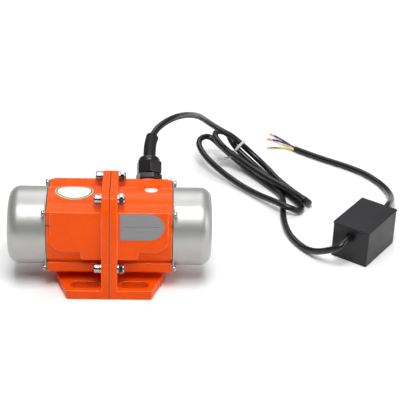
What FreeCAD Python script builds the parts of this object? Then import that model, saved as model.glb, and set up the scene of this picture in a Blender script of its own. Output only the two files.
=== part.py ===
import FreeCAD, Part
import math
import os

from FreeCAD import Matrix, Placement, Rotation, Vector

# Vibration motor: two die-cast halves bolted together at a seam flange, a stator clamped between
# them, a rotor shaft that carries an eccentric weight pair at each end under a drawn cap, and a
# supply lead with an in-line capacitor box.
#
# Frame: X along the shaft, +Y to the side of the cable gland, +Z up, origin on the mounting face
# below the middle of the seam.  Millimetres.

# ---------------------------------------------------------------- driving dimensions
SHAFT_HEIGHT = 55.5            # mounting face to shaft axis

# housing halves
HALF_LENGTH = 62.5             # seam to end face of one casting
BARREL_R = 39.5
BOSS_HALF = 35.0               # half the square over the corner bosses
BOSS_WIDTH = 18.0              # how far a corner boss reaches inwards along Y
UPPER_BOSS_DEPTH = 14.5        # height of an upper corner boss
LOWER_BOSS_DEPTH = 11.5        # height of a lower corner boss
BOSS_CORNER_R = 2.5
PAD_LEAN = 6.0                 # how far the flat side pad leans out from top to bottom edge
PAD_DROP = 7.0                 # lower edge of the pad below the shaft axis
PAD_LENGTH = 58.5              # seam to the free end of the pad
PAD_CORNER_R = 14.0
PAD_STEP_LENGTH = 28.5         # the deeper part of the pad beside the flange
PAD_STEP_DROP = 15.0
PAD_STEP_R = 3.0

# seam flange
FLANGE_T = 8.0                 # one half's share
FLANGE_TOP = 49.0              # above the shaft axis
FLANGE_TOP_HALF = 27.8         # half width of the flat top
FLANGE_TOP_R = 5.0
FLANGE_SHOULDER_HALF = 37.0    # half width at the shoulder
FLANGE_SHOULDER_UP = 36.0      # shoulder above the shaft axis
FLANGE_SHOULDER_R = 14.0
BOLT_CIRCLE_R = 50.0
UPPER_BOLT_ANGLE = 62.0        # from the horizontal
LOWER_BOLT_ANGLE = -28.5
BOLT_D = 6.0
BOLT_HOLE_D = 6.6
BOLT_HEAD_D = 10.0
BOLT_HEAD_H = 6.0
BOLT_SOCKET_AF = 5.0
BOLT_SOCKET_DEPTH = 3.0
NUT_AF = 10.0
NUT_H = 5.2
SPRING_WASHER_D = 10.6
SPRING_WASHER_T = 1.6
BOLT_TIP = 1.4                 # thread that stands past the nut

# feet
FOOT_HALF_DEPTH = 52.5
FOOT_T = 10.0
FOOT_TIP_HALF = 42.5           # half length along the front edge
FOOT_ROOT_HALF = 56.0          # half length where the side edge turns in under the body
FOOT_ROOT_Y = 16.0
FOOT_CORNER_R = 2.0
SLOT_CENTRE_X = 24.7
SLOT_MARGIN = 12.0             # slot axis to the foot's long edge
SLOT_CENTRE_Y = FOOT_HALF_DEPTH - SLOT_MARGIN
SLOT_LENGTH = 30.6
SLOT_WIDTH = 11.2
PEDESTAL_HALF_Y = 20.0
PEDESTAL_LENGTH = 52.0
RELIEF_HALF_Y = 25.0           # shallow relief between the two machined foot pads
RELIEF_DEPTH = 1.5

# inside of a casting
STATOR_R = 34.2
STATOR_HALF = 24.0             # half the lamination stack
STATOR_CLEARANCE = 0.05
CHAMBER_R = 32.5
END_WALL_X = 45.0              # inner face of the end wall, also the inner face of the bearing
END_WALL_T = 6.0
HUB_R = 23.0
HUB_END_X = 59.5
RECESS_R = 34.5
SHAFT_PASSAGE_R = 11.5

# bearings
BEARING_D = 35.0
BEARING_BORE = 15.0
BEARING_WIDTH = 11.0
BEARING_PITCH_R = (BEARING_D + BEARING_BORE) / 4
BALL_R = 2.95
BALL_COUNT = 7
GROOVE_R = 3.15
RACE_WALL = 2.3                # ring section beside the ball groove
CAGE_HALF_WIDTH = 1.7
CAGE_WALL = 0.95
SPRING_T = 0.8                 # wave washer behind the left bearing, squeezed flat

# rotor
AIR_GAP = 0.4
STATOR_BORE_R = 18.2
SLOT_MOUTH_RUNOUT = 2.2        # the slot mouths are cut this far into the open bore
SLOT_COUNT = 12
STATOR_SLOT_IN_R = 20.2
STATOR_SLOT_OUT_R = 29.0
STATOR_SLOT_OPENING = 2.6
STATOR_SLOT_IN_WIDTH = 4.4
STATOR_SLOT_OUT_WIDTH = 9.0
COIL_CLEARANCE = 0.3
COIL_HEAD_LENGTH = 12.0
COIL_HEAD_IN_R = 20.6
COIL_HEAD_OUT_R = 30.0
COIL_HEAD_ROUND = 3.2
BAR_COUNT = 10
BAR_R = 1.8
BAR_PITCH_R = 14.6
END_RING_IN_R = 11.5
END_RING_OUT_R = 17.0
END_RING_LENGTH = 5.0

# shaft and what it carries outside the bearings
SHAFT_MID_D = 18.0
SHAFT_END_D = 14.0
SHAFT_HALF = 90.0
SPACER_D = 20.0
WEIGHT_X = 65.0                # inner face of the fixed weight
WEIGHT_T = 10.0
WEIGHT_R = 33.0
WEIGHT_HUB_R = 13.0
WEIGHT_CUT_UP = 2.0            # flat upper edge of the half disc above the axis
WEIGHT_GAP = 0.3               # between the fixed and the adjustable weight
WEIGHT_RUNNING_CLEARANCE = 0.05
CLAMP_SLIT = 1.6
CLAMP_SCREW_D = 4.0
CLAMP_SCREW_UP = 10.2          # screw axis above the shaft axis
CLAMP_SCREW_HEAD_D = 7.0
CLAMP_SCREW_HEAD_H = 3.0
KEY_WIDTH = 5.0
KEY_HEIGHT = 4.6
KEY_LENGTH = WEIGHT_T - 1.0
END_WASHER_D = 20.0
END_WASHER_T = 1.2
CIRCLIP_T = 1.0
CIRCLIP_D = 18.5
CIRCLIP_GROOVE_D = 13.0
CIRCLIP_GAP = 5.0

# drawn end caps
GASKET_T = 0.8
CAP_SHEET = 1.2
CAP_END_X = 103.3
CAP_ROUND_R = 11.5
CAP_DOME_R = 390.0
CAP_FLANGE_CORNER_R = 6.0
CAP_SCREW_PITCH = 31.5         # half the square of the four screws
CAP_SCREW_D = 4.0
CAP_SCREW_HOLE_D = 4.4
CAP_SCREW_HEAD_D = 7.4
CAP_SCREW_HEAD_H = 2.8
CAP_SCREW_HEAD_ROUND = 1.9
CAP_SCREW_LENGTH = 9.0
THREAD_FIT = 0.1               # radial, between a thread and its tapped hole

# plates and stickers
NAMEPLATE_LENGTH = 44.0
NAMEPLATE_HEIGHT = 31.0
NAMEPLATE_T = 0.5
NAMEPLATE_X = 10.6             # square end of the plate
NAMEPLATE_TOP = 0.8            # below the upper edge of the pad
STICKER_T = 0.25
OVAL_LABEL = (-36.0, 0.0, 19.0, 13.0)       # centre x, centre y, half length, half width
SMALL_LABEL = (41.0, 4.0, 6.5, 5.2)

# cable entry
GLAND_X = 38.5
GLAND_SETBACK = 9.4            # centre of the slanted boss face to the foot's long edge
GLAND_Y = FOOT_HALF_DEPTH - GLAND_SETBACK
GLAND_UP = 26.9                # and its height above the shaft axis
GLAND_BOSS_D = 26.0
GLAND_BOSS_ROOT = 26.0         # how far the boss reaches back into the casting
GLAND_THREAD_D = 18.6
GLAND_THREAD_LENGTH = 8.0
GLAND_PASSAGE_D = 14.0
GLAND_SEAL_T = 1.4
GLAND_AF = 24.0
GLAND_HEX_H = 6.0
GLAND_NECK_D = 18.0
GLAND_NECK_H = 9.0
GLAND_NUT_H = 12.0
GLAND_NUT_GAP = 0.6
GLAND_DOME_H = 8.5
GLAND_MOUTH_D = 12.6
GLAND_INSERT_D = 16.6
SLEEVE_D = 12.0
SLEEVE_BORE = 7.8
SLEEVE_START = 14.0            # along the gland axis from the boss face
SLEEVE_CLEARANCE = 0.25
CORD_D = 7.0

# capacitor box, turned about Z from the frame
BOX_CORNER = (268.4, 11.7)     # nearest lower corner
BOX_TURN = 53.9                # long side from the X axis, degrees
BOX_LENGTH = 63.1
BOX_WIDTH = 42.4
BOX_HEIGHT = 41.7
BOX_WALL = 2.2
BOX_EDGE_R = 1.2
BOX_LID_T = 2.4
BOX_LID_LIP = 0.5
BOX_LID_PLUG = 3.0             # how far the lid's rim reaches into the box
BOX_FIT = 0.2
LEAD_ENTRY_UP = 30.3           # where the motor lead goes in, above the floor
SUPPLY_EXIT_UP = 20.0
GROMMET_D = 11.6
GROMMET_NECK_D = 10.0
GROMMET_LIP = 1.2
GROMMET_BORE = 7.8
CAPACITOR_LENGTH = 46.0
CAPACITOR_D = 25.0

# loose leads: each route is a list of hand-set points
CORE_D = 2.2
CORE_TIP_D = 1.5
CORE_TIP_LENGTH = 9.0
CORE_TIP_GAP = 0.3             # the strands splay a little past the insulation
MOTOR_LEAD = [
    (38.5, 50.2, 89.6), (38.6, 61.5, 101.0), (39.2, 73.5, 111.8), (43.5, 87, 119),
    (52.5, 102, 121), (63, 117, 120), (72.4, 136, 114), (84, 160, 103.5), (95.5, 187, 88),
    (108, 212, 67), (123, 229, 49), (136, 237.5, 38), (148.1, 238.5, 26.8), (163.5, 232, 14.5),
    (179, 215, 6.5), (190.5, 191.5, 3.5), (204.5, 166.5, 3.5), (214.8, 151, 3.5),
    (221, 141.5, 3.5), (220.4, 136, 6.4), (216.5, 133.6, 10.4), (211.6, 135.6, 13.1),
    (205.5, 145.5, 12), (193.6, 163.7, 10.8), (177.5, 180.5, 12), (158.3, 200.2, 15.5),
    (143.2, 215.8, 20), (128.5, 225.9, 26), (118.3, 242.5, 30.5), (116.2, 254.5, 32),
    (121.4, 260.8, 32), (129.4, 260.8, 31), (134.0, 254.2, 29.5), (136.9, 242, 26.5),
    (144.6, 230.4, 21.8), (157, 222, 13.5), (171, 208, 6.5), (184, 187.3, 3.5),
    (197.8, 161.5, 3.5), (206, 146, 3.5), (212.5, 131, 3.5), (207.5, 119, 4.5),
    (197.5, 117, 9.8), (187.5, 122.5, 11.2), (178.5, 133.5, 10), (163, 153.5, 6),
    (142.2, 178.4, 5.5), (119, 203, 12), (104, 222.5, 18.5), (97, 240.5, 23),
    (98.5, 252.5, 25), (105.5, 260, 25.5), (113.5, 260.3, 23.7), (122.5, 251, 18.5),
    (137.5, 237, 11), (153, 219.8, 4.5), (164.6, 201.5, 3.5), (179.4, 176.3, 3.5),
    (190.5, 159.5, 3.5), (191.8, 141, 3.5), (189, 117, 3.5), (189, 93, 3.5), (192.5, 71, 3.5),
    (199, 54.5, 3.5), (207, 41.5, 3.7), (214.5, 30.5, 7.5), (222, 21, 13.5), (229.5, 13.5, 20),
    (237, 9.5, 25.5), (243.5, 13, 29), (248.5, 20.4, 30.3), (253.7, 27.6, 30.3)]
SUPPLY_LEAD = [
    (284.8, 70.3, 20), (293.7, 82.4, 20), (302.5, 103, 22.5), (312, 126, 15.5), (316.5, 153, 8),
    (312.5, 183, 3.5), (296, 211, 3.5), (275, 229, 3.5), (254, 243, 3.5), (232, 259.5, 3.5),
    (217, 272, 3.5)]
CORE_ROUTES = {
    "core_blue": [(217.6, 273.4, 3.2), (209.5, 285, 4), (201.5, 299, 3), (195, 310, 1.6)],
    "core_brown": [(216.7, 272.3, 5.2), (208.5, 281.5, 5.4), (199.5, 291.5, 3.6),
                   (192, 299.5, 1.6)],
    "core_earth": [(215.8, 271.2, 3.0), (207.5, 276.5, 2.4), (199.5, 279, 1.7),
                   (191.5, 278.8, 1.5)]}
CORE_TIPS = {"core_blue": (187.5, 319, 1.1), "core_brown": (183, 303, 1.1),
             "core_earth": (180.5, 277.2, 1.1)}

# cable tie round the lead and the returning strand beside it
TIE_FIRST = (147.8, 237.8, 27.2)
TIE_SECOND = (143.0, 233.1, 22.8)
TIE_DIRECTION = (0.7, -0.4, -0.5)
TIE_WIDTH = 3.0
TIE_T = 1.1
TIE_CLEARANCE = 0.95
TIE_HEAD = 5.0
TIE_TAIL = [(137.5, 227.8, 17.0), (132.5, 226.3, 14.5), (126.0, 226.5, 12.5), (119.0, 229.0, 11.5)]
TIE_TAIL_WIDTH = 2.5
TIE_TAIL_T = 1.0

TINY = 0.01

# ---------------------------------------------------------------- helpers
YZ = Rotation(Vector(1, 1, 1), 120)        # local x, y, z -> world Y, Z, X
XZ = Rotation(Vector(1, 0, 0), 90)         # local x, y, z -> world X, Z, -Y
XY = Rotation()
X_AXIS = Vector(1, 0, 0)
ORIGIN = Vector(0, 0, 0)


def placed(shape, rotation=XY, base=ORIGIN):
    """Copy of a shape, turned and then moved."""
    moved = shape.copy()
    moved.Placement = Placement(base, rotation).multiply(moved.Placement)
    return moved


def on_shaft(shape):
    """Lift a shape that was made about the X axis up to the shaft height."""
    return placed(shape, base=Vector(0, 0, SHAFT_HEIGHT))


def mirrored(shape):
    """The same piece on the other side of the seam."""
    return shape.mirror(ORIGIN, X_AXIS)


def rounded_wire(corners):
    """Closed outline through corners (u, v, radius) in the local XY plane."""
    ins, mids, outs = [], [], []
    for i, (u, v, radius) in enumerate(corners):
        here = Vector(u, v, 0)
        before = Vector(*corners[i - 1][:2], 0) - here
        after = Vector(*corners[(i + 1) % len(corners)][:2], 0) - here
        before.normalize()
        after.normalize()
        half = before.getAngle(after) / 2
        reach = radius / math.tan(half)
        ins.append(here + before * reach)
        outs.append(here + after * reach)
        inward = before + after
        if radius:
            inward.normalize()
            mids.append(here + inward * (radius / math.sin(half) - radius))
        else:
            mids.append(here)
    edges = []
    for i, (u, v, radius) in enumerate(corners):
        if (ins[i] - outs[i - 1]).Length > TINY:
            edges.append(Part.LineSegment(outs[i - 1], ins[i]).toShape())
        if radius:
            edges.append(Part.Arc(ins[i], mids[i], outs[i]).toShape())
    return Part.Wire(edges)


def prism(corners, rotation, start, length):
    """Extruded outline; start and length run along the local Z axis of the rotation."""
    solid = Part.Face(rounded_wire(corners)).extrude(Vector(0, 0, length))
    return placed(placed(solid, base=Vector(0, 0, start)), rotation)


def turned(corners):
    """Solid of revolution about the shaft from a profile of (x, radius, round) corners."""
    return on_shaft(Part.Face(rounded_wire(corners)).revolve(ORIGIN, X_AXIS, 360))


def disc(radius, start, end, y=0.0, up=0.0):
    """Cylinder along X between two stations, at y and at a height above the shaft axis."""
    return Part.makeCylinder(radius, end - start, Vector(start, y, SHAFT_HEIGHT + up), X_AXIS)


def ring(outer, inner, start, end):
    """Plain ring on the shaft."""
    return turned([(start, inner, 0), (end, inner, 0), (end, outer, 0), (start, outer, 0)])


def hexagon(across_flats, height):
    """Hexagonal prism on the local Z axis, with a flat towards local X."""
    corner = across_flats / 2 / math.cos(math.pi / 6)
    points = []
    for i in range(6):
        angle = math.radians(60 * i + 30)
        points.append((corner * math.cos(angle), corner * math.sin(angle), 0))
    return Part.Face(rounded_wire(points)).extrude(Vector(0, 0, height))


def merged(shapes):
    """Fuse a list of shapes into one solid without leftover seams."""
    result = shapes[0].fuse(shapes[1:]) if len(shapes) > 1 else shapes[0]
    return result.removeSplitter()


def around(shape, count, offset=0.0):
    """Copies of a shape turned about the shaft."""
    copies = []
    for i in range(count):
        turn = Rotation(X_AXIS, offset + 360.0 * i / count)
        centre = Vector(0, 0, SHAFT_HEIGHT)
        copies.append(placed(shape, turn, centre - turn.multVec(centre)))
    return copies


def flange_bolt_centres():
    """The four seam bolts as (y, height above the shaft axis)."""
    centres = []
    for angle in (UPPER_BOLT_ANGLE, LOWER_BOLT_ANGLE):
        y = BOLT_CIRCLE_R * math.cos(math.radians(angle))
        up = BOLT_CIRCLE_R * math.sin(math.radians(angle))
        centres += [(y, up), (-y, up)]
    return centres


def cap_screw_centres():
    """The four screws of an end cap as (y, height above the shaft axis)."""
    pitch = CAP_SCREW_PITCH
    return [(pitch, pitch), (-pitch, pitch), (-pitch, -pitch), (pitch, -pitch)]


def arc_radius(points, i):
    """Radius of the arc at a point of a route: as large as its two runs allow."""
    here = points[i]
    before, after = points[i - 1] - here, points[i + 1] - here
    half_turn = (math.pi - before.getAngle(after)) / 2
    return 0.45 * min(before.Length, after.Length) / math.tan(half_turn)


def route_wire(points, radii):
    """Straight runs joined by tangent arcs."""
    edges = []
    last = points[0]
    for i in range(1, len(points) - 1):
        here = points[i]
        before, after = points[i - 1] - here, points[i + 1] - here
        before.normalize()
        after.normalize()
        half = before.getAngle(after) / 2
        reach = radii[i - 1] / math.tan(half)
        inward = before + after
        inward.normalize()
        start, end = here + before * reach, here + after * reach
        middle = here + inward * (radii[i - 1] / math.sin(half) - radii[i - 1])
        edges.append(Part.LineSegment(last, start).toShape())
        edges.append(Part.Arc(start, middle, end).toShape())
        last = end
    edges.append(Part.LineSegment(last, points[-1]).toShape())
    return Part.Wire(edges)


def round_wire(centre, direction, radius):
    return Part.Wire([Part.Circle(centre, direction, radius).toShape()])


def tube(name, points, diameter):
    """Round cord along a route; prints its radii and how its volume compares."""
    points = [Vector(*p) for p in points]
    radii = [arc_radius(points, i) for i in range(1, len(points) - 1)]
    path = route_wire(points, radii)
    profile = round_wire(points[0], points[1] - points[0], diameter / 2)
    solid = path.makePipeShell([profile], True, False)
    ideal = path.Length * math.pi * diameter ** 2 / 4
    print("%s: length %.1f, radii %s" % (name, path.Length, " ".join("%.0f" % r for r in radii)))
    print("%s: volume / (section x length) = %.4f" % (name, solid.Volume / ideal))
    return solid


# ---------------------------------------------------------------- housing
def flange_outline():
    """Seam flange: flat top, sloping sides that run down to the foot edges."""
    top = SHAFT_HEIGHT + FLANGE_TOP
    shoulder = SHAFT_HEIGHT + FLANGE_SHOULDER_UP
    side = [(FLANGE_TOP_HALF, top, FLANGE_TOP_R),
            (FLANGE_SHOULDER_HALF, shoulder, FLANGE_SHOULDER_R),
            (FOOT_HALF_DEPTH, FOOT_T, 0),
            (FOOT_HALF_DEPTH, 0, 0)]
    other = [(-y, z, r) for y, z, r in reversed(side)]
    return side + other


def foot_outline():
    """Plan of one half's foot plate, widest under the body."""
    front = [(0, -FOOT_HALF_DEPTH, 0),
             (FOOT_TIP_HALF, -FOOT_HALF_DEPTH, FOOT_CORNER_R),
             (FOOT_ROOT_HALF, -FOOT_ROOT_Y, FOOT_CORNER_R)]
    rear = [(x, -y, r) for x, y, r in reversed(front)]
    return front + rear


def side_pad(sign):
    """Flat leaning pad on one side of the barrel, with the deeper step beside the flange."""
    lean_per_mm = PAD_LEAN / (BOSS_HALF + PAD_DROP)
    step_lean = lean_per_mm * (BOSS_HALF + PAD_STEP_DROP)
    top = SHAFT_HEIGHT + BOSS_HALF
    bottom = SHAFT_HEIGHT - PAD_STEP_DROP
    wedge = prism([(sign * 20, bottom, 0), (sign * (BOSS_HALF + step_lean), bottom, 0),
                   (sign * BOSS_HALF, top, 0), (sign * 20, top, 0)], YZ, 0, HALF_LENGTH)
    edge = SHAFT_HEIGHT - PAD_DROP
    face = prism([(0, top, 0), (0, bottom, 0),
                  (PAD_STEP_LENGTH, bottom, PAD_STEP_R), (PAD_STEP_LENGTH, edge, 0),
                  (PAD_LENGTH, edge, PAD_CORNER_R), (PAD_LENGTH, top, 0)],
                 XZ, -2 * BARREL_R, 4 * BARREL_R)
    return wedge.common(face)


def corner_boss(y_sign, up_sign, depth):
    """Full-length corner boss that takes a cap screw."""
    outer_y, inner_y = y_sign * BOSS_HALF, y_sign * (BOSS_HALF - BOSS_WIDTH)
    outer_z = SHAFT_HEIGHT + up_sign * BOSS_HALF
    inner_z = SHAFT_HEIGHT + up_sign * (BOSS_HALF - depth)
    corners = [(outer_y, outer_z, BOSS_CORNER_R), (inner_y, outer_z, 0),
               (inner_y, inner_z, 0), (outer_y, inner_z, 0)]
    return prism(corners, YZ, 0, HALF_LENGTH)


def gland_frame():
    """Placement of the slanted boss face: local Z points out along the gland."""
    tilt = Rotation(Vector(1, 0, 0), -45)
    return Placement(Vector(GLAND_X, GLAND_Y, SHAFT_HEIGHT + GLAND_UP), tilt)


def at_gland(shape):
    """Move a shape made on the local Z axis onto the gland axis."""
    moved = shape.copy()
    moved.Placement = gland_frame().multiply(moved.Placement)
    return moved


def housing_half(with_gland):
    """One die-cast half, made on the +X side."""
    outline = [prism(flange_outline(), YZ, 0, FLANGE_T),
               prism(foot_outline(), XY, 0, FOOT_T),
               disc(BARREL_R, 0, HALF_LENGTH),
               side_pad(1), side_pad(-1),
               corner_boss(1, 1, UPPER_BOSS_DEPTH), corner_boss(-1, 1, UPPER_BOSS_DEPTH),
               corner_boss(1, -1, LOWER_BOSS_DEPTH), corner_boss(-1, -1, LOWER_BOSS_DEPTH),
               Part.makeBox(PEDESTAL_LENGTH, 2 * PEDESTAL_HALF_Y, SHAFT_HEIGHT - BARREL_R / 2,
                            Vector(0, -PEDESTAL_HALF_Y, 0))]
    if with_gland:
        outline.append(at_gland(Part.makeCylinder(GLAND_BOSS_D / 2, GLAND_BOSS_ROOT,
                                              Vector(0, 0, -GLAND_BOSS_ROOT))))
    body = merged(outline)

    cuts = [disc(STATOR_R + STATOR_CLEARANCE, -1, STATOR_HALF),
            disc(CHAMBER_R, STATOR_HALF - 1, END_WALL_X),
            disc(BEARING_D / 2, END_WALL_X - 1, bearing_seat_end(with_gland)),
            disc(SHAFT_PASSAGE_R, END_WALL_X, HALF_LENGTH + 1),
            ring(RECESS_R, HUB_R, END_WALL_X + END_WALL_T, HALF_LENGTH + 1),
            ring(HUB_R + 1, SHAFT_PASSAGE_R - 1, HUB_END_X, HALF_LENGTH + 1),
            Part.makeBox(HALF_LENGTH, 2 * RELIEF_HALF_Y, RELIEF_DEPTH,
                         Vector(-1, -RELIEF_HALF_Y, 0))]
    cuts += [disc(BOLT_HOLE_D / 2, -1, FLANGE_T + 1, y, up) for y, up in flange_bolt_centres()]
    tapped = CAP_SCREW_D / 2 + THREAD_FIT
    cuts += [disc(tapped, HALF_LENGTH - CAP_SCREW_LENGTH, HALF_LENGTH + 1, y, up)
             for y, up in cap_screw_centres()]
    cuts += [foot_slot(1), foot_slot(-1)]
    if with_gland:
        thread = GLAND_THREAD_D / 2 + THREAD_FIT
        cuts.append(at_gland(Part.makeCylinder(thread, GLAND_THREAD_LENGTH + 1,
                                               Vector(0, 0, -GLAND_THREAD_LENGTH))))
        cuts.append(at_gland(Part.makeCylinder(GLAND_PASSAGE_D / 2, GLAND_BOSS_ROOT + 4,
                                               Vector(0, 0, -GLAND_BOSS_ROOT))))
    return body.cut(cuts).removeSplitter()


def bearing_seat_end(fixed):
    """Outer end of a bearing seat; the floating side is deeper by the wave washer."""
    return END_WALL_X + BEARING_WIDTH + (0 if fixed else SPRING_T)


def foot_slot(sign):
    """Long mounting slot through the foot plate, parallel to the shaft."""
    half, width = SLOT_LENGTH / 2, SLOT_WIDTH / 2
    y = sign * SLOT_CENTRE_Y
    corners = [(SLOT_CENTRE_X - half, y - width, width - TINY),
               (SLOT_CENTRE_X + half, y - width, width - TINY),
               (SLOT_CENTRE_X + half, y + width, width - TINY),
               (SLOT_CENTRE_X - half, y + width, width - TINY)]
    return prism(corners, XY, -1, FOOT_T + 2)


# ---------------------------------------------------------------- stator and rotor
def stator_slot(shrink, inner_r):
    """Outline of one stator slot on the +Z side, shrunk all round; for the iron or the coil."""
    low = STATOR_SLOT_IN_WIDTH / 2 - shrink
    high = STATOR_SLOT_OUT_WIDTH / 2 - shrink
    return [(-low, inner_r, 0), (low, inner_r, 0),
            (high, STATOR_SLOT_OUT_R - shrink, 1.2), (-high, STATOR_SLOT_OUT_R - shrink, 1.2)]


def stator_core():
    core = ring(STATOR_R, STATOR_BORE_R, -STATOR_HALF, STATOR_HALF)
    slot = on_shaft(prism(stator_slot(0, STATOR_SLOT_IN_R), YZ, -STATOR_HALF - 1,
                          2 * STATOR_HALF + 2))
    low = STATOR_BORE_R - SLOT_MOUTH_RUNOUT
    mouth = Part.makeBox(2 * STATOR_HALF + 2, STATOR_SLOT_OPENING, STATOR_SLOT_IN_R + 1 - low,
                         Vector(-STATOR_HALF - 1, -STATOR_SLOT_OPENING / 2, SHAFT_HEIGHT + low))
    return core.cut(around(slot.fuse(mouth), SLOT_COUNT)).removeSplitter()


def stator_windings():
    """Coil sides in the slots and the wound heads beyond both ends of the stack."""
    reach = STATOR_HALF + 1.5
    coil = on_shaft(prism(stator_slot(COIL_CLEARANCE, STATOR_SLOT_IN_R + 1), YZ, -reach, 2 * reach))
    head = turned([(STATOR_HALF + 0.5, COIL_HEAD_IN_R, 1.0),
                   (STATOR_HALF + COIL_HEAD_LENGTH, COIL_HEAD_IN_R, COIL_HEAD_ROUND),
                   (STATOR_HALF + COIL_HEAD_LENGTH, COIL_HEAD_OUT_R, COIL_HEAD_ROUND),
                   (STATOR_HALF + 0.5, COIL_HEAD_OUT_R, 1.0)])
    return merged(around(coil, SLOT_COUNT) + [head, mirrored(head)])


def rotor_core():
    core = ring(STATOR_BORE_R - AIR_GAP, SHAFT_MID_D / 2, -STATOR_HALF, STATOR_HALF)
    bars = around(disc(BAR_R, -STATOR_HALF - 1, STATOR_HALF + 1, 0, BAR_PITCH_R), BAR_COUNT)
    return core.cut(bars)


def rotor_cage():
    """Cast conductor cage: bars through the core and a short-circuit ring at each end."""
    end = turned([(STATOR_HALF, END_RING_IN_R, 0), (STATOR_HALF, END_RING_OUT_R, 0),
                  (STATOR_HALF + END_RING_LENGTH, END_RING_OUT_R - 0.8, 0.8),
                  (STATOR_HALF + END_RING_LENGTH, END_RING_IN_R + 0.8, 0.8)])
    bars = around(disc(BAR_R, -STATOR_HALF - 1, STATOR_HALF + 1, 0, BAR_PITCH_R), BAR_COUNT)
    return merged(bars + [end, mirrored(end)])


def shaft():
    """Stepped shaft with a keyway and a circlip groove at each end."""
    mid, journal, end = SHAFT_MID_D / 2, BEARING_BORE / 2, SHAFT_END_D / 2
    body = turned([(-SHAFT_HALF, 0, 0), (-SHAFT_HALF, end, 1.0), (-WEIGHT_X, end, 0),
                   (-WEIGHT_X, journal, 0), (-END_WALL_X, journal, 0), (-END_WALL_X, mid, 0.6),
                   (END_WALL_X, mid, 0.6), (END_WALL_X, journal, 0), (WEIGHT_X, journal, 0),
                   (WEIGHT_X, end, 0), (SHAFT_HALF, end, 1.0), (SHAFT_HALF, 0, 0)])
    groove = ring(end + 1, CIRCLIP_GROOVE_D / 2, circlip_x(), circlip_x() + CIRCLIP_T)
    keyway = key_blank(0)
    return body.cut([groove, mirrored(groove), keyway, mirrored(keyway)])


def circlip_x():
    """Inner face of the circlip, past the weights and the end washer."""
    return adjustable_x() + WEIGHT_T + WEIGHT_GAP + END_WASHER_T


def adjustable_x():
    """Inner face of the adjustable weight."""
    return WEIGHT_X + WEIGHT_T + WEIGHT_GAP


def key_blank(trim):
    """Parallel key in the top of the shaft end, under the fixed weight."""
    low = SHAFT_HEIGHT + SHAFT_END_D / 2 - KEY_HEIGHT / 2
    return Part.makeBox(KEY_LENGTH, KEY_WIDTH, KEY_HEIGHT - trim,
                        Vector(WEIGHT_X + 0.5, -KEY_WIDTH / 2, low))


def weight_blank(start, bore_r):
    """Half-disc eccentric with a hub, heavy side down."""
    half_disc = disc(WEIGHT_R, start, start + WEIGHT_T)
    above = Part.makeBox(WEIGHT_T, 2 * WEIGHT_R, WEIGHT_R,
                         Vector(start, -WEIGHT_R, SHAFT_HEIGHT + WEIGHT_CUT_UP))
    blank = half_disc.cut(above).fuse(disc(WEIGHT_HUB_R, start, start + WEIGHT_T))
    return blank.removeSplitter().cut(disc(bore_r, start - 1, start + WEIGHT_T + 1))


def fixed_weight():
    return weight_blank(WEIGHT_X, SHAFT_END_D / 2).cut(key_blank(0))


def clamp_screw_line(radius, start, end):
    """Cylinder along the clamp screw's axis, which runs along Y through the hub."""
    mid = adjustable_x() + WEIGHT_T / 2
    return Part.makeCylinder(radius, end - start,
                             Vector(mid, start, SHAFT_HEIGHT + CLAMP_SCREW_UP), Vector(0, 1, 0))


def adjustable_weight():
    """Eccentric that turns on the shaft once its split hub is loosened."""
    start = adjustable_x()
    blank = weight_blank(start, SHAFT_END_D / 2 + WEIGHT_RUNNING_CLEARANCE)
    slit = Part.makeBox(WEIGHT_T, CLAMP_SLIT, WEIGHT_HUB_R + 1,
                        Vector(start, -CLAMP_SLIT / 2, SHAFT_HEIGHT + SHAFT_END_D / 4))
    seat = clamp_screw_line(CLAMP_SCREW_HEAD_D / 2 + THREAD_FIT, CLAMP_SCREW_HEAD_D / 2, WEIGHT_R)
    hole = clamp_screw_line(CLAMP_SCREW_D / 2 + THREAD_FIT, -WEIGHT_R, WEIGHT_R)
    return blank.cut([slit, seat, hole])


def clamp_screw():
    """Screw that pinches the split hub of the adjustable weight."""
    head_y = CLAMP_SCREW_HEAD_D / 2
    shank = clamp_screw_line(CLAMP_SCREW_D / 2, -head_y - 1.5, head_y + 1)
    head = clamp_screw_line(CLAMP_SCREW_HEAD_D / 2, head_y, head_y + CLAMP_SCREW_HEAD_H)
    socket = clamp_screw_line(CLAMP_SCREW_D / 3, head_y + CLAMP_SCREW_HEAD_H / 2, WEIGHT_R)
    return shank.fuse(head).removeSplitter().cut(socket)


def end_washer():
    start = circlip_x() - END_WASHER_T
    return ring(END_WASHER_D / 2, SHAFT_END_D / 2, start, start + END_WASHER_T)


def circlip():
    """Open retaining ring in the groove, gap upwards."""
    start = circlip_x()
    clip = ring(CIRCLIP_D / 2, CIRCLIP_GROOVE_D / 2, start, start + CIRCLIP_T)
    gap = Part.makeBox(CIRCLIP_T, CIRCLIP_GAP, CIRCLIP_D,
                       Vector(start, -CIRCLIP_GAP / 2, SHAFT_HEIGHT))
    return clip.cut(gap)


def spacer():
    """Distance sleeve between the inner race and the fixed weight."""
    return ring(SPACER_D / 2, BEARING_BORE / 2, END_WALL_X + BEARING_WIDTH, WEIGHT_X)


# ---------------------------------------------------------------- bearings
def ball_track():
    """Torus swept by the balls, as wide as the race grooves."""
    track = Part.makeTorus(BEARING_PITCH_R, GROOVE_R, ORIGIN, X_AXIS)
    return placed(track, base=Vector(END_WALL_X + BEARING_WIDTH / 2, 0, SHAFT_HEIGHT))


def bearing_outer():
    inner = BEARING_PITCH_R + GROOVE_R - RACE_WALL / 2
    race = ring(BEARING_D / 2, inner, END_WALL_X, END_WALL_X + BEARING_WIDTH)
    return race.cut(ball_track())


def bearing_inner():
    outer = BEARING_PITCH_R - GROOVE_R + RACE_WALL / 2
    race = ring(outer, BEARING_BORE / 2, END_WALL_X, END_WALL_X + BEARING_WIDTH)
    return race.cut(ball_track())


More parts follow.
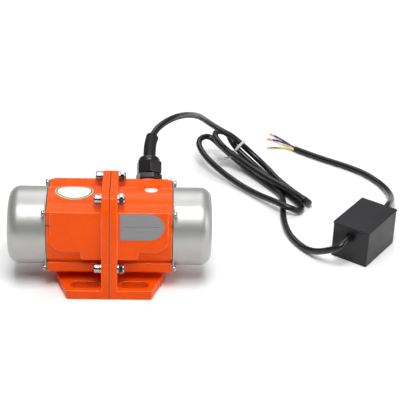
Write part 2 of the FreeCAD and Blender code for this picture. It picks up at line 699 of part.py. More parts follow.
def bearing_balls():
    """Ball set of one bearing; each ball meets a pocket of the cage."""
    centre = Vector(END_WALL_X + BEARING_WIDTH / 2, 0, SHAFT_HEIGHT + BEARING_PITCH_R)
    return around(Part.makeSphere(BALL_R, centre), BALL_COUNT)


def bearing_cage():
    """Ring that keeps the balls apart, with one pocket for each."""
    middle = END_WALL_X + BEARING_WIDTH / 2
    band = ring(BEARING_PITCH_R + CAGE_WALL, BEARING_PITCH_R - CAGE_WALL,
                middle - CAGE_HALF_WIDTH, middle + CAGE_HALF_WIDTH)
    centre = Vector(middle, 0, SHAFT_HEIGHT + BEARING_PITCH_R)
    pocket = Part.makeCylinder(BALL_R + 0.1, 4 * CAGE_WALL,
                               centre - Vector(0, 0, 2 * CAGE_WALL), Vector(0, 0, 1))
    lug = ring(BEARING_PITCH_R + CAGE_WALL, BEARING_PITCH_R - CAGE_WALL,
               middle - BALL_R - 1, middle - CAGE_HALF_WIDTH)
    return band.fuse(lug).removeSplitter().cut(around(pocket, BALL_COUNT))


def wave_washer():
    """Preload spring between the floating bearing and its shoulder, squeezed flat."""
    start = END_WALL_X + BEARING_WIDTH
    return ring(BEARING_D / 2 - 0.5, SHAFT_PASSAGE_R + 1.5, start, start + SPRING_T)


# ---------------------------------------------------------------- end caps
def end_plate(start, thickness, hole_r):
    """Square plate with the barrel's bulge, as the cap flange and the gasket have it."""
    half, corner = BOSS_HALF, CAP_FLANGE_CORNER_R
    square = prism([(half, SHAFT_HEIGHT + half, corner), (-half, SHAFT_HEIGHT + half, corner),
                    (-half, SHAFT_HEIGHT - half, corner), (half, SHAFT_HEIGHT - half, corner)],
                   YZ, start, thickness)
    plate = square.fuse(disc(BARREL_R, start, start + thickness)).removeSplitter()
    holes = [disc(CAP_SCREW_HOLE_D / 2, start - 1, start + thickness + 1, y, up)
             for y, up in cap_screw_centres()]
    return plate.cut(holes + [disc(hole_r, start - 1, start + thickness + 1)])


def cap_profile(inset):
    """Half section of the drawn cup, moved inwards by inset: edges from mouth to axis."""
    mouth = HALF_LENGTH + GASKET_T
    radius, round_r = BARREL_R - inset, CAP_ROUND_R - inset
    dome_r, tip = CAP_DOME_R - inset, CAP_END_X - inset
    dome_x = tip - dome_r
    round_y = radius - round_r
    round_x = dome_x + math.sqrt((dome_r - round_r) ** 2 - round_y ** 2)
    slope = math.atan2(round_y, round_x - dome_x)
    middle = (math.pi / 2 + slope) / 2
    start = Vector(round_x, radius, 0)
    knee = Vector(round_x + round_r * math.cos(middle), round_y + round_r * math.sin(middle), 0)
    meet = Vector(dome_x + dome_r * math.cos(slope), dome_r * math.sin(slope), 0)
    half_way = Vector(dome_x + dome_r * math.cos(slope / 2), dome_r * math.sin(slope / 2), 0)
    apex = Vector(tip, 0, 0)
    mouth_point = Vector(mouth, radius, 0)
    return mouth_point, [Part.LineSegment(mouth_point, start).toShape(),
                         Part.Arc(start, knee, meet).toShape(),
                         Part.Arc(meet, half_way, apex).toShape()], apex


def end_cap():
    """Deep-drawn cup that covers the eccentric weights, with its screw flange."""
    mouth_out, outer, apex_out = cap_profile(0)
    mouth_in, inner, apex_in = cap_profile(CAP_SHEET)
    edges = outer + [Part.LineSegment(apex_out, apex_in).toShape()] + inner[::-1]
    edges.append(Part.LineSegment(mouth_in, mouth_out).toShape())
    section = Part.Face(Part.Wire(Part.__sortEdges__(edges)))
    cup = on_shaft(section.revolve(ORIGIN, X_AXIS, 360))
    plate = end_plate(HALF_LENGTH + GASKET_T, CAP_SHEET, BARREL_R - CAP_SHEET)
    return merged([cup, plate])


def gasket():
    return end_plate(HALF_LENGTH, GASKET_T, RECESS_R)


def cap_screws():
    """Pan-head screws of one cap."""
    seat = HALF_LENGTH + GASKET_T + CAP_SHEET
    screws = []
    for y, up in cap_screw_centres():
        head = turned([(seat, 0, 0), (seat, CAP_SCREW_HEAD_D / 2, 0),
                       (seat + CAP_SCREW_HEAD_H, CAP_SCREW_HEAD_D / 2, CAP_SCREW_HEAD_ROUND),
                       (seat + CAP_SCREW_HEAD_H, 0, 0)])
        shank = disc(CAP_SCREW_D / 2, seat - CAP_SCREW_LENGTH, seat + 1)
        screws.append(placed(merged([head, shank]), base=Vector(0, y, up)))
    return screws


# ---------------------------------------------------------------- seam fasteners
def at_bolt(shape, centre):
    """Move a shape made on the local Z axis onto a seam bolt, with local Z along +X."""
    y, up = centre
    turn = Rotation(Vector(0, 1, 0), 90)
    return placed(shape, turn, Vector(0, y, SHAFT_HEIGHT + up))


def seam_bolts():
    """Socket-head bolts put in from the gland side of the motor."""
    under_head = FLANGE_T + SPRING_WASHER_T
    tip = -FLANGE_T - SPRING_WASHER_T - NUT_H - BOLT_TIP
    shank = Part.makeCylinder(BOLT_D / 2, under_head - tip, Vector(0, 0, tip))
    head = Part.makeCylinder(BOLT_HEAD_D / 2, BOLT_HEAD_H, Vector(0, 0, under_head))
    top_edges = [e for e in head.Edges if e.BoundBox.ZMin > under_head + BOLT_HEAD_H - TINY]
    head = head.makeFillet(0.6, top_edges)
    socket = placed(hexagon(BOLT_SOCKET_AF, BOLT_SOCKET_DEPTH + 1),
                    base=Vector(0, 0, under_head + BOLT_HEAD_H - BOLT_SOCKET_DEPTH))
    bolt = merged([shank, head]).cut(socket)
    return [at_bolt(bolt, centre) for centre in flange_bolt_centres()]


def seam_nuts():
    """Chamfered hexagon nuts on the other side of the flange."""
    start = -FLANGE_T - SPRING_WASHER_T - NUT_H
    blank = placed(hexagon(NUT_AF, NUT_H), base=Vector(0, 0, start))
    corner = NUT_AF / 2 / math.cos(math.pi / 6)
    cone = Part.makeCone(corner - 0.7, corner + NUT_H, NUT_H, Vector(0, 0, start))
    nut = blank.common(cone).cut(Part.makeCylinder(BOLT_D / 2, NUT_H, Vector(0, 0, start)))
    return [at_bolt(nut, centre) for centre in flange_bolt_centres()]


def spring_washers():
    """Split washers under the heads and under the nuts."""
    washers = []
    for start in (FLANGE_T, -FLANGE_T - SPRING_WASHER_T):
        blank = Part.makeCylinder(SPRING_WASHER_D / 2, SPRING_WASHER_T, Vector(0, 0, start))
        bore = Part.makeCylinder(BOLT_D / 2 + THREAD_FIT, SPRING_WASHER_T, Vector(0, 0, start))
        split = Part.makeBox(SPRING_WASHER_D, 0.8, SPRING_WASHER_T, Vector(0, -0.4, start))
        washer = blank.cut([bore, split])
        washers += [at_bolt(washer, centre) for centre in flange_bolt_centres()]
    return washers


# ---------------------------------------------------------------- plates and stickers
def nameplate():
    """Blank plate on the leaning front pad: square at one end, half round at the other."""
    lean = math.degrees(math.atan2(PAD_LEAN, BOSS_HALF + PAD_DROP))
    half = NAMEPLATE_HEIGHT / 2
    plate = prism([(0, -half, 0), (NAMEPLATE_LENGTH, -half, half - TINY),
                   (NAMEPLATE_LENGTH, half, half - TINY), (0, half, 0)], XZ, 0, NAMEPLATE_T)
    tilt = Rotation(Vector(1, 0, 0), -lean)
    down = NAMEPLATE_TOP + half
    drop = math.cos(math.radians(lean)) * down
    out = math.sin(math.radians(lean)) * down
    base = Vector(NAMEPLATE_X, -BOSS_HALF - out, SHAFT_HEIGHT + BOSS_HALF - drop)
    return placed(plate, tilt, base)


def barrel_sticker(sizes):
    """Thin oval sticker that follows the top of the barrel."""
    x, y, half_length, half_width = sizes
    outline = Part.Ellipse(Vector(x, y, 0), half_length, half_width)
    block = Part.Face(Part.Wire([outline.toShape()])).extrude(Vector(0, 0, 2 * SHAFT_HEIGHT))
    shell = ring(BARREL_R + STICKER_T, BARREL_R, x - half_length - 1, x + half_length + 1)
    upper = Part.makeBox(4 * half_length, 2 * BARREL_R, 2 * BARREL_R,
                         Vector(x - 2 * half_length, -BARREL_R, SHAFT_HEIGHT + BARREL_R / 2))
    return shell.common(block).common(upper)


# ---------------------------------------------------------------- cable gland
def gland_body():
    """Threaded body with its hexagon and the neck that the nut closes on."""
    base = GLAND_SEAL_T
    thread = Part.makeCylinder(GLAND_THREAD_D / 2, GLAND_THREAD_LENGTH + base,
                               Vector(0, 0, -GLAND_THREAD_LENGTH))
    collar = placed(hexagon(GLAND_AF, GLAND_HEX_H), Rotation(Vector(0, 0, 1), 20),
                    Vector(0, 0, base))
    neck = Part.makeCylinder(GLAND_NECK_D / 2, GLAND_NECK_H, Vector(0, 0, base + GLAND_HEX_H))
    body = merged([thread, collar, neck])
    bore = Part.makeCylinder(CORD_D / 2 + 1, 40, Vector(0, 0, -20))
    insert_seat = Part.makeCylinder(SLEEVE_D / 2 + SLEEVE_CLEARANCE, 20, Vector(0, 0, SLEEVE_START))
    return at_gland(body.cut([bore, insert_seat]))


def gland_nut_base():
    return GLAND_SEAL_T + GLAND_HEX_H + GLAND_NUT_GAP


def gland_nut():
    """Domed hexagon nut, bored for the neck and open at the top for the sleeve."""
    base = gland_nut_base()
    skirt = placed(hexagon(GLAND_AF, GLAND_NUT_H), Rotation(Vector(0, 0, 1), 12),
                   Vector(0, 0, base))
    shoulder = base + GLAND_NUT_H
    half = GLAND_AF / 2 - 0.6
    dome = [(0, shoulder, 0), (half, shoulder, 0), (half - 0.8, shoulder + 2.5, 3.0),
            (GLAND_MOUTH_D / 2 + 1.2, shoulder + GLAND_DOME_H, 1.0), (0, shoulder + GLAND_DOME_H, 0)]
    cap = placed(Part.Face(rounded_wire(dome)), XZ).revolve(ORIGIN, Vector(0, 0, 1), 360)
    neck_bore = Part.makeCylinder(GLAND_NECK_D / 2 + THREAD_FIT,
                                  GLAND_NECK_H - GLAND_NUT_GAP + 0.4, Vector(0, 0, base))
    mouth = Part.makeCylinder(GLAND_MOUTH_D / 2, 40, Vector(0, 0, base))
    return at_gland(merged([skirt, cap]).cut([neck_bore, mouth]))


def gland_seal():
    """Flat sealing ring between the gland's hexagon and the boss face."""
    ring_blank = Part.makeCylinder(GLAND_AF / 2 - 0.4, GLAND_SEAL_T)
    return at_gland(ring_blank.cut(Part.makeCylinder(GLAND_THREAD_D / 2, GLAND_SEAL_T)))


def cable_sleeve():
    """Soft sleeve that leads the motor lead out of the gland, on the lead's own line."""
    points = [Vector(*p) for p in MOTOR_LEAD[:4]]
    radii = [arc_radius(points, i) for i in (1, 2)]
    first = at_gland(Part.Vertex(0, 0, SLEEVE_START + SLEEVE_CLEARANCE)).Point
    points[0] = points[1] + (points[0] - points[1]) * ((first - points[1]).Length
                                                       / (points[0] - points[1]).Length)
    points[3] = points[2] + (points[3] - points[2]) * 0.72
    path = route_wire(points, radii)
    direction = points[1] - points[0]
    outer = path.makePipeShell([round_wire(points[0], direction, SLEEVE_D / 2)], True, False)
    inner = path.makePipeShell([round_wire(points[0], direction, SLEEVE_BORE / 2)], True, False)
    return outer.cut(inner)


# ---------------------------------------------------------------- capacitor box
def at_box(shape):
    """Move a shape from the box's own frame (long side X, short side Y) to its place."""
    turn = Rotation(Vector(0, 0, 1), BOX_TURN)
    return placed(shape, turn, Vector(BOX_CORNER[0], BOX_CORNER[1], 0))


def box_ports():
    """The two cable ports: x of the wall's outer face, outward sign, height."""
    return [(0.0, -1, LEAD_ENTRY_UP), (BOX_LENGTH, 1, SUPPLY_EXIT_UP)]


def box_plan(grow, low, height):
    """Rounded rectangle over the box's plan, grown all round, as a block."""
    corners = [(-grow, -grow, BOX_EDGE_R), (BOX_LENGTH + grow, -grow, BOX_EDGE_R),
               (BOX_LENGTH + grow, BOX_WIDTH + grow, BOX_EDGE_R),
               (-grow, BOX_WIDTH + grow, BOX_EDGE_R)]
    return prism(corners, XY, low, height)


def capacitor_box():
    """Open-topped moulded box with a port in each end wall."""
    body = box_plan(0, 0, BOX_HEIGHT - BOX_LID_T)
    hollow = Part.makeBox(BOX_LENGTH - 2 * BOX_WALL, BOX_WIDTH - 2 * BOX_WALL, BOX_HEIGHT,
                          Vector(BOX_WALL, BOX_WALL, BOX_WALL))
    ports = []
    for x, sign, up in box_ports():
        start = x if sign < 0 else x - BOX_WALL
        ports.append(Part.makeCylinder(GROMMET_NECK_D / 2 + THREAD_FIT / 2, BOX_WALL + 2,
                                       Vector(start - 1, BOX_WIDTH / 2, up), X_AXIS))
    return at_box(body.cut([hollow] + ports))


def capacitor_box_lid():
    """Lid with a rim that drops into the box."""
    low = BOX_HEIGHT - BOX_LID_T
    plate = box_plan(BOX_LID_LIP, low, BOX_LID_T)
    inset = BOX_WALL + BOX_FIT
    rim = Part.makeBox(BOX_LENGTH - 2 * inset, BOX_WIDTH - 2 * inset, BOX_LID_PLUG,
                       Vector(inset, inset, low - BOX_LID_PLUG))
    core = Part.makeBox(BOX_LENGTH - 2 * inset - 3, BOX_WIDTH - 2 * inset - 3, BOX_LID_PLUG,
                        Vector(inset + 1.5, inset + 1.5, low - BOX_LID_PLUG))
    return at_box(merged([plate, rim]).cut(core))


def box_grommets():
    """Rubber grommet in each port: a lip outside and one inside the wall."""
    grommets = []
    for x, sign, up in box_ports():
        profile = [(-GROMMET_LIP, GROMMET_BORE / 2, 0), (BOX_WALL + GROMMET_LIP, GROMMET_BORE / 2, 0),
                   (BOX_WALL + GROMMET_LIP, GROMMET_D / 2, 0), (BOX_WALL, GROMMET_D / 2, 0),
                   (BOX_WALL, GROMMET_NECK_D / 2, 0), (0, GROMMET_NECK_D / 2, 0),
                   (0, GROMMET_D / 2, 0), (-GROMMET_LIP, GROMMET_D / 2, 0)]
        solid = Part.Face(rounded_wire(profile)).revolve(ORIGIN, X_AXIS, 360)
        base = Vector(x if sign < 0 else x - BOX_WALL, BOX_WIDTH / 2, up)
        grommets.append(at_box(placed(solid, base=base)))
    return grommets


def run_capacitor():
    """Cylindrical run capacitor lying in the box."""
    start = (BOX_LENGTH - CAPACITOR_LENGTH) / 2
    can = Part.makeCylinder(CAPACITOR_D / 2, CAPACITOR_LENGTH,
                            Vector(start, BOX_WIDTH / 2 - 4, BOX_WALL + CAPACITOR_D / 2), X_AXIS)
    ends = [e for e in can.Edges if e.Curve.TypeId == "Part::GeomCircle"]
    return at_box(can.makeFillet(1.5, ends))


# ---------------------------------------------------------------- what lies on the leads
def core_tip(name):
    """Stripped end of a core."""
    start = Vector(*CORE_ROUTES[name][-1])
    direction = Vector(*CORE_TIPS[name]) - start
    direction.normalize()
    return Part.makeCylinder(CORE_TIP_D / 2, CORE_TIP_LENGTH,
                             start + direction * CORE_TIP_GAP, direction)


def stadium(first, second, radius, direction, width):
    """Block whose section is the band outline round two strands."""
    across = second - first
    along = Vector(direction)
    along.normalize()
    across = across - along * across.dot(along)
    side = along.cross(across)
    side.normalize()
    start = first - along * (width / 2)
    ends = [start + side * radius, start + across + side * radius,
            start + across - side * radius, start - side * radius]
    out = Vector(across)
    out.normalize()
    wire = Part.Wire([Part.LineSegment(ends[0], ends[1]).toShape(),
                      Part.Arc(ends[1], start + across + out * radius, ends[2]).toShape(),
                      Part.LineSegment(ends[2], ends[3]).toShape(),
                      Part.Arc(ends[3], start - out * radius, ends[0]).toShape()])
    return Part.Face(wire).extrude(along * width)


def cable_tie():
    """Tie band round two strands, its locking head below and the free tail."""
    first, second = Vector(*TIE_FIRST), Vector(*TIE_SECOND)
    along = Vector(*TIE_DIRECTION)
    inside = CORD_D / 2 + TIE_CLEARANCE
    band = stadium(first, second, inside + TIE_T, along, TIE_WIDTH)
    hole = stadium(first, second, inside, along, TIE_WIDTH + 2)
    out = second - first
    out.normalize()
    tail = [second + out * (inside + TIE_T / 2)] + [Vector(*p) for p in TIE_TAIL]
    radii = [arc_radius(tail, i) for i in range(1, len(tail) - 1)]
    path = route_wire(tail, radii)
    direction = tail[1] - tail[0]
    section = Part.Face(Part.makePolygon([Vector(-TIE_TAIL_WIDTH / 2, -TIE_TAIL_T / 2, 0),
                                          Vector(TIE_TAIL_WIDTH / 2, -TIE_TAIL_T / 2, 0),
                                          Vector(TIE_TAIL_WIDTH / 2, TIE_TAIL_T / 2, 0),
                                          Vector(-TIE_TAIL_WIDTH / 2, TIE_TAIL_T / 2, 0),
                                          Vector(-TIE_TAIL_WIDTH / 2, -TIE_TAIL_T / 2, 0)]))
    profile = placed(section, Rotation(Vector(0, 0, 1), direction), tail[0])
    strip = path.makePipeShell([profile.OuterWire], True, False)
    head = Part.makeBox(TIE_HEAD, TIE_HEAD, TIE_HEAD - 1,
                        Vector(-TIE_HEAD / 2, -TIE_HEAD / 2, 0))
    head = placed(head, Rotation(Vector(0, 0, 1), out), second + out * (inside + TIE_T / 2))
    return band.fuse([strip, head]).removeSplitter().cut(hole)


# ---------------------------------------------------------------- export
def export(name, shapes):
    """Write one node; a list of shapes becomes a group of separate solids."""
    solids = shapes if isinstance(shapes, list) else [shapes]
    solids = [solid for shape in solids for solid in shape.Solids]
    group = solids[0] if len(solids) == 1 else Part.makeCompound(solids)
    group.exportStep(os.path.join("parts", name + ".step"))
    volume = sum(solid.Volume for solid in solids)
    print("%-24s %2d solid(s) %10.1f mm3 valid %s" % (name, len(solids), volume, group.isValid()))


def export_pair(name, shape):
    """Write a piece made on the +X side and its mirrored partner."""
    shapes = shape if isinstance(shape, list) else [shape]
    export(name + "_right", shapes)
    export(name + "_left", [mirrored(piece) for piece in shapes])


def main():
    os.makedirs("parts", exist_ok=True)
    export("housing_right", housing_half(True))
    export("housing_left", mirrored(housing_half(False)))
    export("stator_core", stator_core())
    export("stator_windings", stator_windings())
    export("shaft", shaft())
    export("rotor_core", rotor_core())
    export("rotor_cage", rotor_cage())
    export_pair("bearing_outer_race", bearing_outer())
    export_pair("bearing_inner_race", bearing_inner())
    export_pair("bearing_balls", bearing_balls())
    export_pair("bearing_cage", bearing_cage())
    export("bearing_wave_washer", mirrored(wave_washer()))
    export_pair("bearing_spacer", spacer())
    export_pair("fixed_weight", fixed_weight())
    export_pair("adjustable_weight", adjustable_weight())
    export_pair("weight_clamp_screw", clamp_screw())
    export("shaft_keys", [key_blank(0), mirrored(key_blank(0))])
    export("shaft_end_washers", [end_washer(), mirrored(end_washer())])
    export("shaft_circlips", [circlip(), mirrored(circlip())])
    export_pair("end_cap_gasket", gasket())
    export_pair("end_cap", end_cap())
    export_pair("end_cap_screws", cap_screws())
    export("flange_bolts", seam_bolts())
    export("flange_nuts", seam_nuts())
    export("flange_spring_washers", spring_washers())
    export("nameplate", nameplate())
    export("oval_label", barrel_sticker(OVAL_LABEL))
    export("inspection_label", barrel_sticker(SMALL_LABEL))
    export("gland_seal", gland_seal())
    export("gland_body", gland_body())
    export("gland_nut", gland_nut())
    export("cable_sleeve", cable_sleeve())
    export("motor_lead", tube("motor_lead", MOTOR_LEAD, CORD_D))
    export("cable_tie", cable_tie())
    export("capacitor_box", capacitor_box())
    export("capacitor_box_lid", capacitor_box_lid())
    export("box_grommets", box_grommets())
    export("run_capacitor", run_capacitor())
    export("supply_lead", tube("supply_lead", SUPPLY_LEAD, CORD_D))
    for name, route in CORE_ROUTES.items():
        export(name, tube(name, route, CORE_D))
    export("core_tips", [core_tip(name) for name in CORE_ROUTES])


main()
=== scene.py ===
import logging
import math
import random
from dataclasses import dataclass
from enum import Enum

import bmesh
import bpy
from mathutils import Matrix, Quaternion, Vector


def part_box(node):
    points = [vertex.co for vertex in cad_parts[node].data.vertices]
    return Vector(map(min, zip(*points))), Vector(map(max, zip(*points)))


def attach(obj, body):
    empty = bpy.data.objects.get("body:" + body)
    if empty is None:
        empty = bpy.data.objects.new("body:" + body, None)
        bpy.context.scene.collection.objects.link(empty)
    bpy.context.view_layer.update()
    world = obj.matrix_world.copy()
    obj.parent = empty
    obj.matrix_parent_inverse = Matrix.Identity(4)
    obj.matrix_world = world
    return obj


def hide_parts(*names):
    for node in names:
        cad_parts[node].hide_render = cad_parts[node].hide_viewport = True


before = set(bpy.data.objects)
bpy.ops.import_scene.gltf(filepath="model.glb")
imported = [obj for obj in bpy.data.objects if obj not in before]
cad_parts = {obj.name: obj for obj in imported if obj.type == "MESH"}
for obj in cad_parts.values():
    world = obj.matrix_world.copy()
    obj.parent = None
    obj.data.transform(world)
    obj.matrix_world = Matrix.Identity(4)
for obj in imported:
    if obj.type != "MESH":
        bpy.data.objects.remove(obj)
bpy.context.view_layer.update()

# Vibration motor dressed over its CAD frame.  Metres, X along the shaft, Z up from the
# mounting face, origin under the middle of the seam.

log = logging.getLogger("vibration_motor")

Point = tuple[float, float, float]
Colour = tuple[int, int, int]
Profile = list[tuple[float, float]]
Mesh = bmesh.types.BMesh
Verts = list[bmesh.types.BMVert]
Socket = bpy.types.NodeSocket
Piece = bpy.types.Object
Material = bpy.types.Material

SHAFT_HEIGHT = 0.0555
LEAD_DIAMETER = 0.007
CORE_DIAMETER = 0.0022
SHARP_ANGLE = 32.0         # edges of the frame over this angle are rounded, in degrees
STATOR_BODY = "motor"      # carries every dressed piece; what turns keeps its frame shape


def metres(*points: Point) -> list[Point]:
    """Points that are written in millimetres."""
    return [tuple(round(c / 1000, 8) for c in point) for point in points]


# Route points of the leads.
MOTOR_LEAD = metres(
    (38.5, 50.2, 89.6), (38.6, 61.5, 101), (39.2, 73.5, 111.8), (43.5, 87, 119), (52.5, 102, 121),
    (63, 117, 120), (72.4, 136, 114), (84, 160, 103.5), (95.5, 187, 88), (108, 212, 67),
    (123, 229, 49), (136, 237.5, 38), (148.1, 238.5, 26.8), (163.5, 232, 14.5), (179, 215, 6.5),
    (190.5, 191.5, 3.5), (204.5, 166.5, 3.5), (214.8, 151, 3.5), (221, 141.5, 3.5),
    (220.4, 136, 6.4), (216.5, 133.6, 10.4), (211.6, 135.6, 13.1), (205.5, 145.5, 12),
    (193.6, 163.7, 10.8), (177.5, 180.5, 12), (158.3, 200.2, 15.5), (143.2, 215.8, 20),
    (128.5, 225.9, 26), (118.3, 242.5, 30.5), (116.2, 254.5, 32), (121.4, 260.8, 32),
    (129.4, 260.8, 31), (134, 254.2, 29.5), (136.9, 242, 26.5), (144.6, 230.4, 21.8),
    (157, 222, 13.5), (171, 208, 6.5), (184, 187.3, 3.5), (197.8, 161.5, 3.5), (206, 146, 3.5),
    (212.5, 131, 3.5), (207.5, 119, 4.5), (197.5, 117, 9.8), (187.5, 122.5, 11.2),
    (178.5, 133.5, 10), (163, 153.5, 6), (142.2, 178.4, 5.5), (119, 203, 12), (104, 222.5, 18.5),
    (97, 240.5, 23), (98.5, 252.5, 25), (105.5, 260, 25.5), (113.5, 260.3, 23.7),
    (122.5, 251, 18.5), (137.5, 237, 11), (153, 219.8, 4.5), (164.6, 201.5, 3.5),
    (179.4, 176.3, 3.5), (190.5, 159.5, 3.5), (191.8, 141, 3.5), (189, 117, 3.5), (189, 93, 3.5),
    (192.5, 71, 3.5), (199, 54.5, 3.5), (207, 41.5, 3.7), (214.5, 30.5, 7.5), (222, 21, 13.5),
    (229.5, 13.5, 20), (237, 9.5, 25.5), (243.5, 13, 29), (248.5, 20.4, 30.3),
    (253.7, 27.6, 30.3))
SUPPLY_LEAD = metres(
    (284.8, 70.3, 20), (293.7, 82.4, 20), (302.5, 103, 22.5), (312, 126, 15.5), (316.5, 153, 8),
    (312.5, 183, 3.5), (296, 211, 3.5), (275, 229, 3.5), (254, 243, 3.5), (232, 259.5, 3.5),
    (217, 272, 3.5))
CORES = {
    "core_blue": metres((217.6, 273.4, 3.2), (209.5, 285, 4), (201.5, 299, 3), (195, 310, 1.6)),
    "core_brown": metres((216.7, 272.3, 5.2), (208.5, 281.5, 5.4), (199.5, 291.5, 3.6),
                         (192, 299.5, 1.6)),
    "core_earth": metres((215.8, 271.2, 3), (207.5, 276.5, 2.4), (199.5, 279, 1.7),
                         (191.5, 278.8, 1.5))}
CORE_TIPS = metres((187.5, 319, 1.1), (183, 303, 1.1), (180.5, 277.2, 1.1))


class Side(Enum):
    """The two ends of the motor, with the sign of X on each."""

    LEFT = -1
    RIGHT = 1

    @property
    def word(self) -> str:
        """The side as it stands in a node's name."""
        return self.name.lower()


def linear(colour: Colour, dim: float = 1.0) -> tuple[float, ...]:
    """Shader colour of a display colour.

    Args:
        colour: Red, green and blue from 0 to 255.
        dim: Factor on the light of all three.

    Returns:
        The linear values and a full alpha.
    """
    shares = (c / 255 for c in colour)
    return (*(dim * (c / 12.92 if c <= 0.04045 else ((c + 0.055) / 1.055) ** 2.4)
              for c in shares), 1.0)


def stand(name: str, data: bpy.types.ID) -> Piece:
    """Put a new object that holds the given data in the scene.

    Args:
        name: Name of the object.
        data: What it holds, such as a mesh or a lamp.

    Returns:
        The object.
    """
    made = bpy.data.objects.new(name, data)
    bpy.context.scene.collection.objects.link(made)
    return made


# ------------------------------------------------------------------ camera
@dataclass(frozen=True)
class ProductCamera:
    """Long-lens camera in front of the motor, a little above it."""

    place: Point = (0.03994, -1.13661, 0.74253)
    yaw: float = 2.54
    pitch: float = 29.97
    roll: float = 1.99
    lens: float = 117.0
    sensor: float = 36.0
    clip: tuple[float, float] = (0.05, 30.0)

    def build(self) -> None:
        """Create the camera and make it the scene's own."""
        yaw, pitch, roll = (math.radians(a) for a in (self.yaw, self.pitch, self.roll))
        ahead = Vector((math.sin(yaw) * math.cos(pitch), math.cos(yaw) * math.cos(pitch),
                        -math.sin(pitch)))
        right = Vector((math.cos(yaw), -math.sin(yaw), 0))
        up = right.cross(ahead)
        right, up = (math.cos(roll) * right + math.sin(roll) * up,
                     math.cos(roll) * up - math.sin(roll) * right)
        turn = Matrix((right, up, -ahead)).transposed()
        data = bpy.data.cameras.new("product_camera")
        data.lens, data.sensor_width = self.lens, self.sensor
        data.clip_start, data.clip_end = self.clip
        camera = stand("product_camera", data)
        camera.matrix_world = Matrix.Translation(self.place) @ turn.to_4x4()
        bpy.context.scene.camera = camera


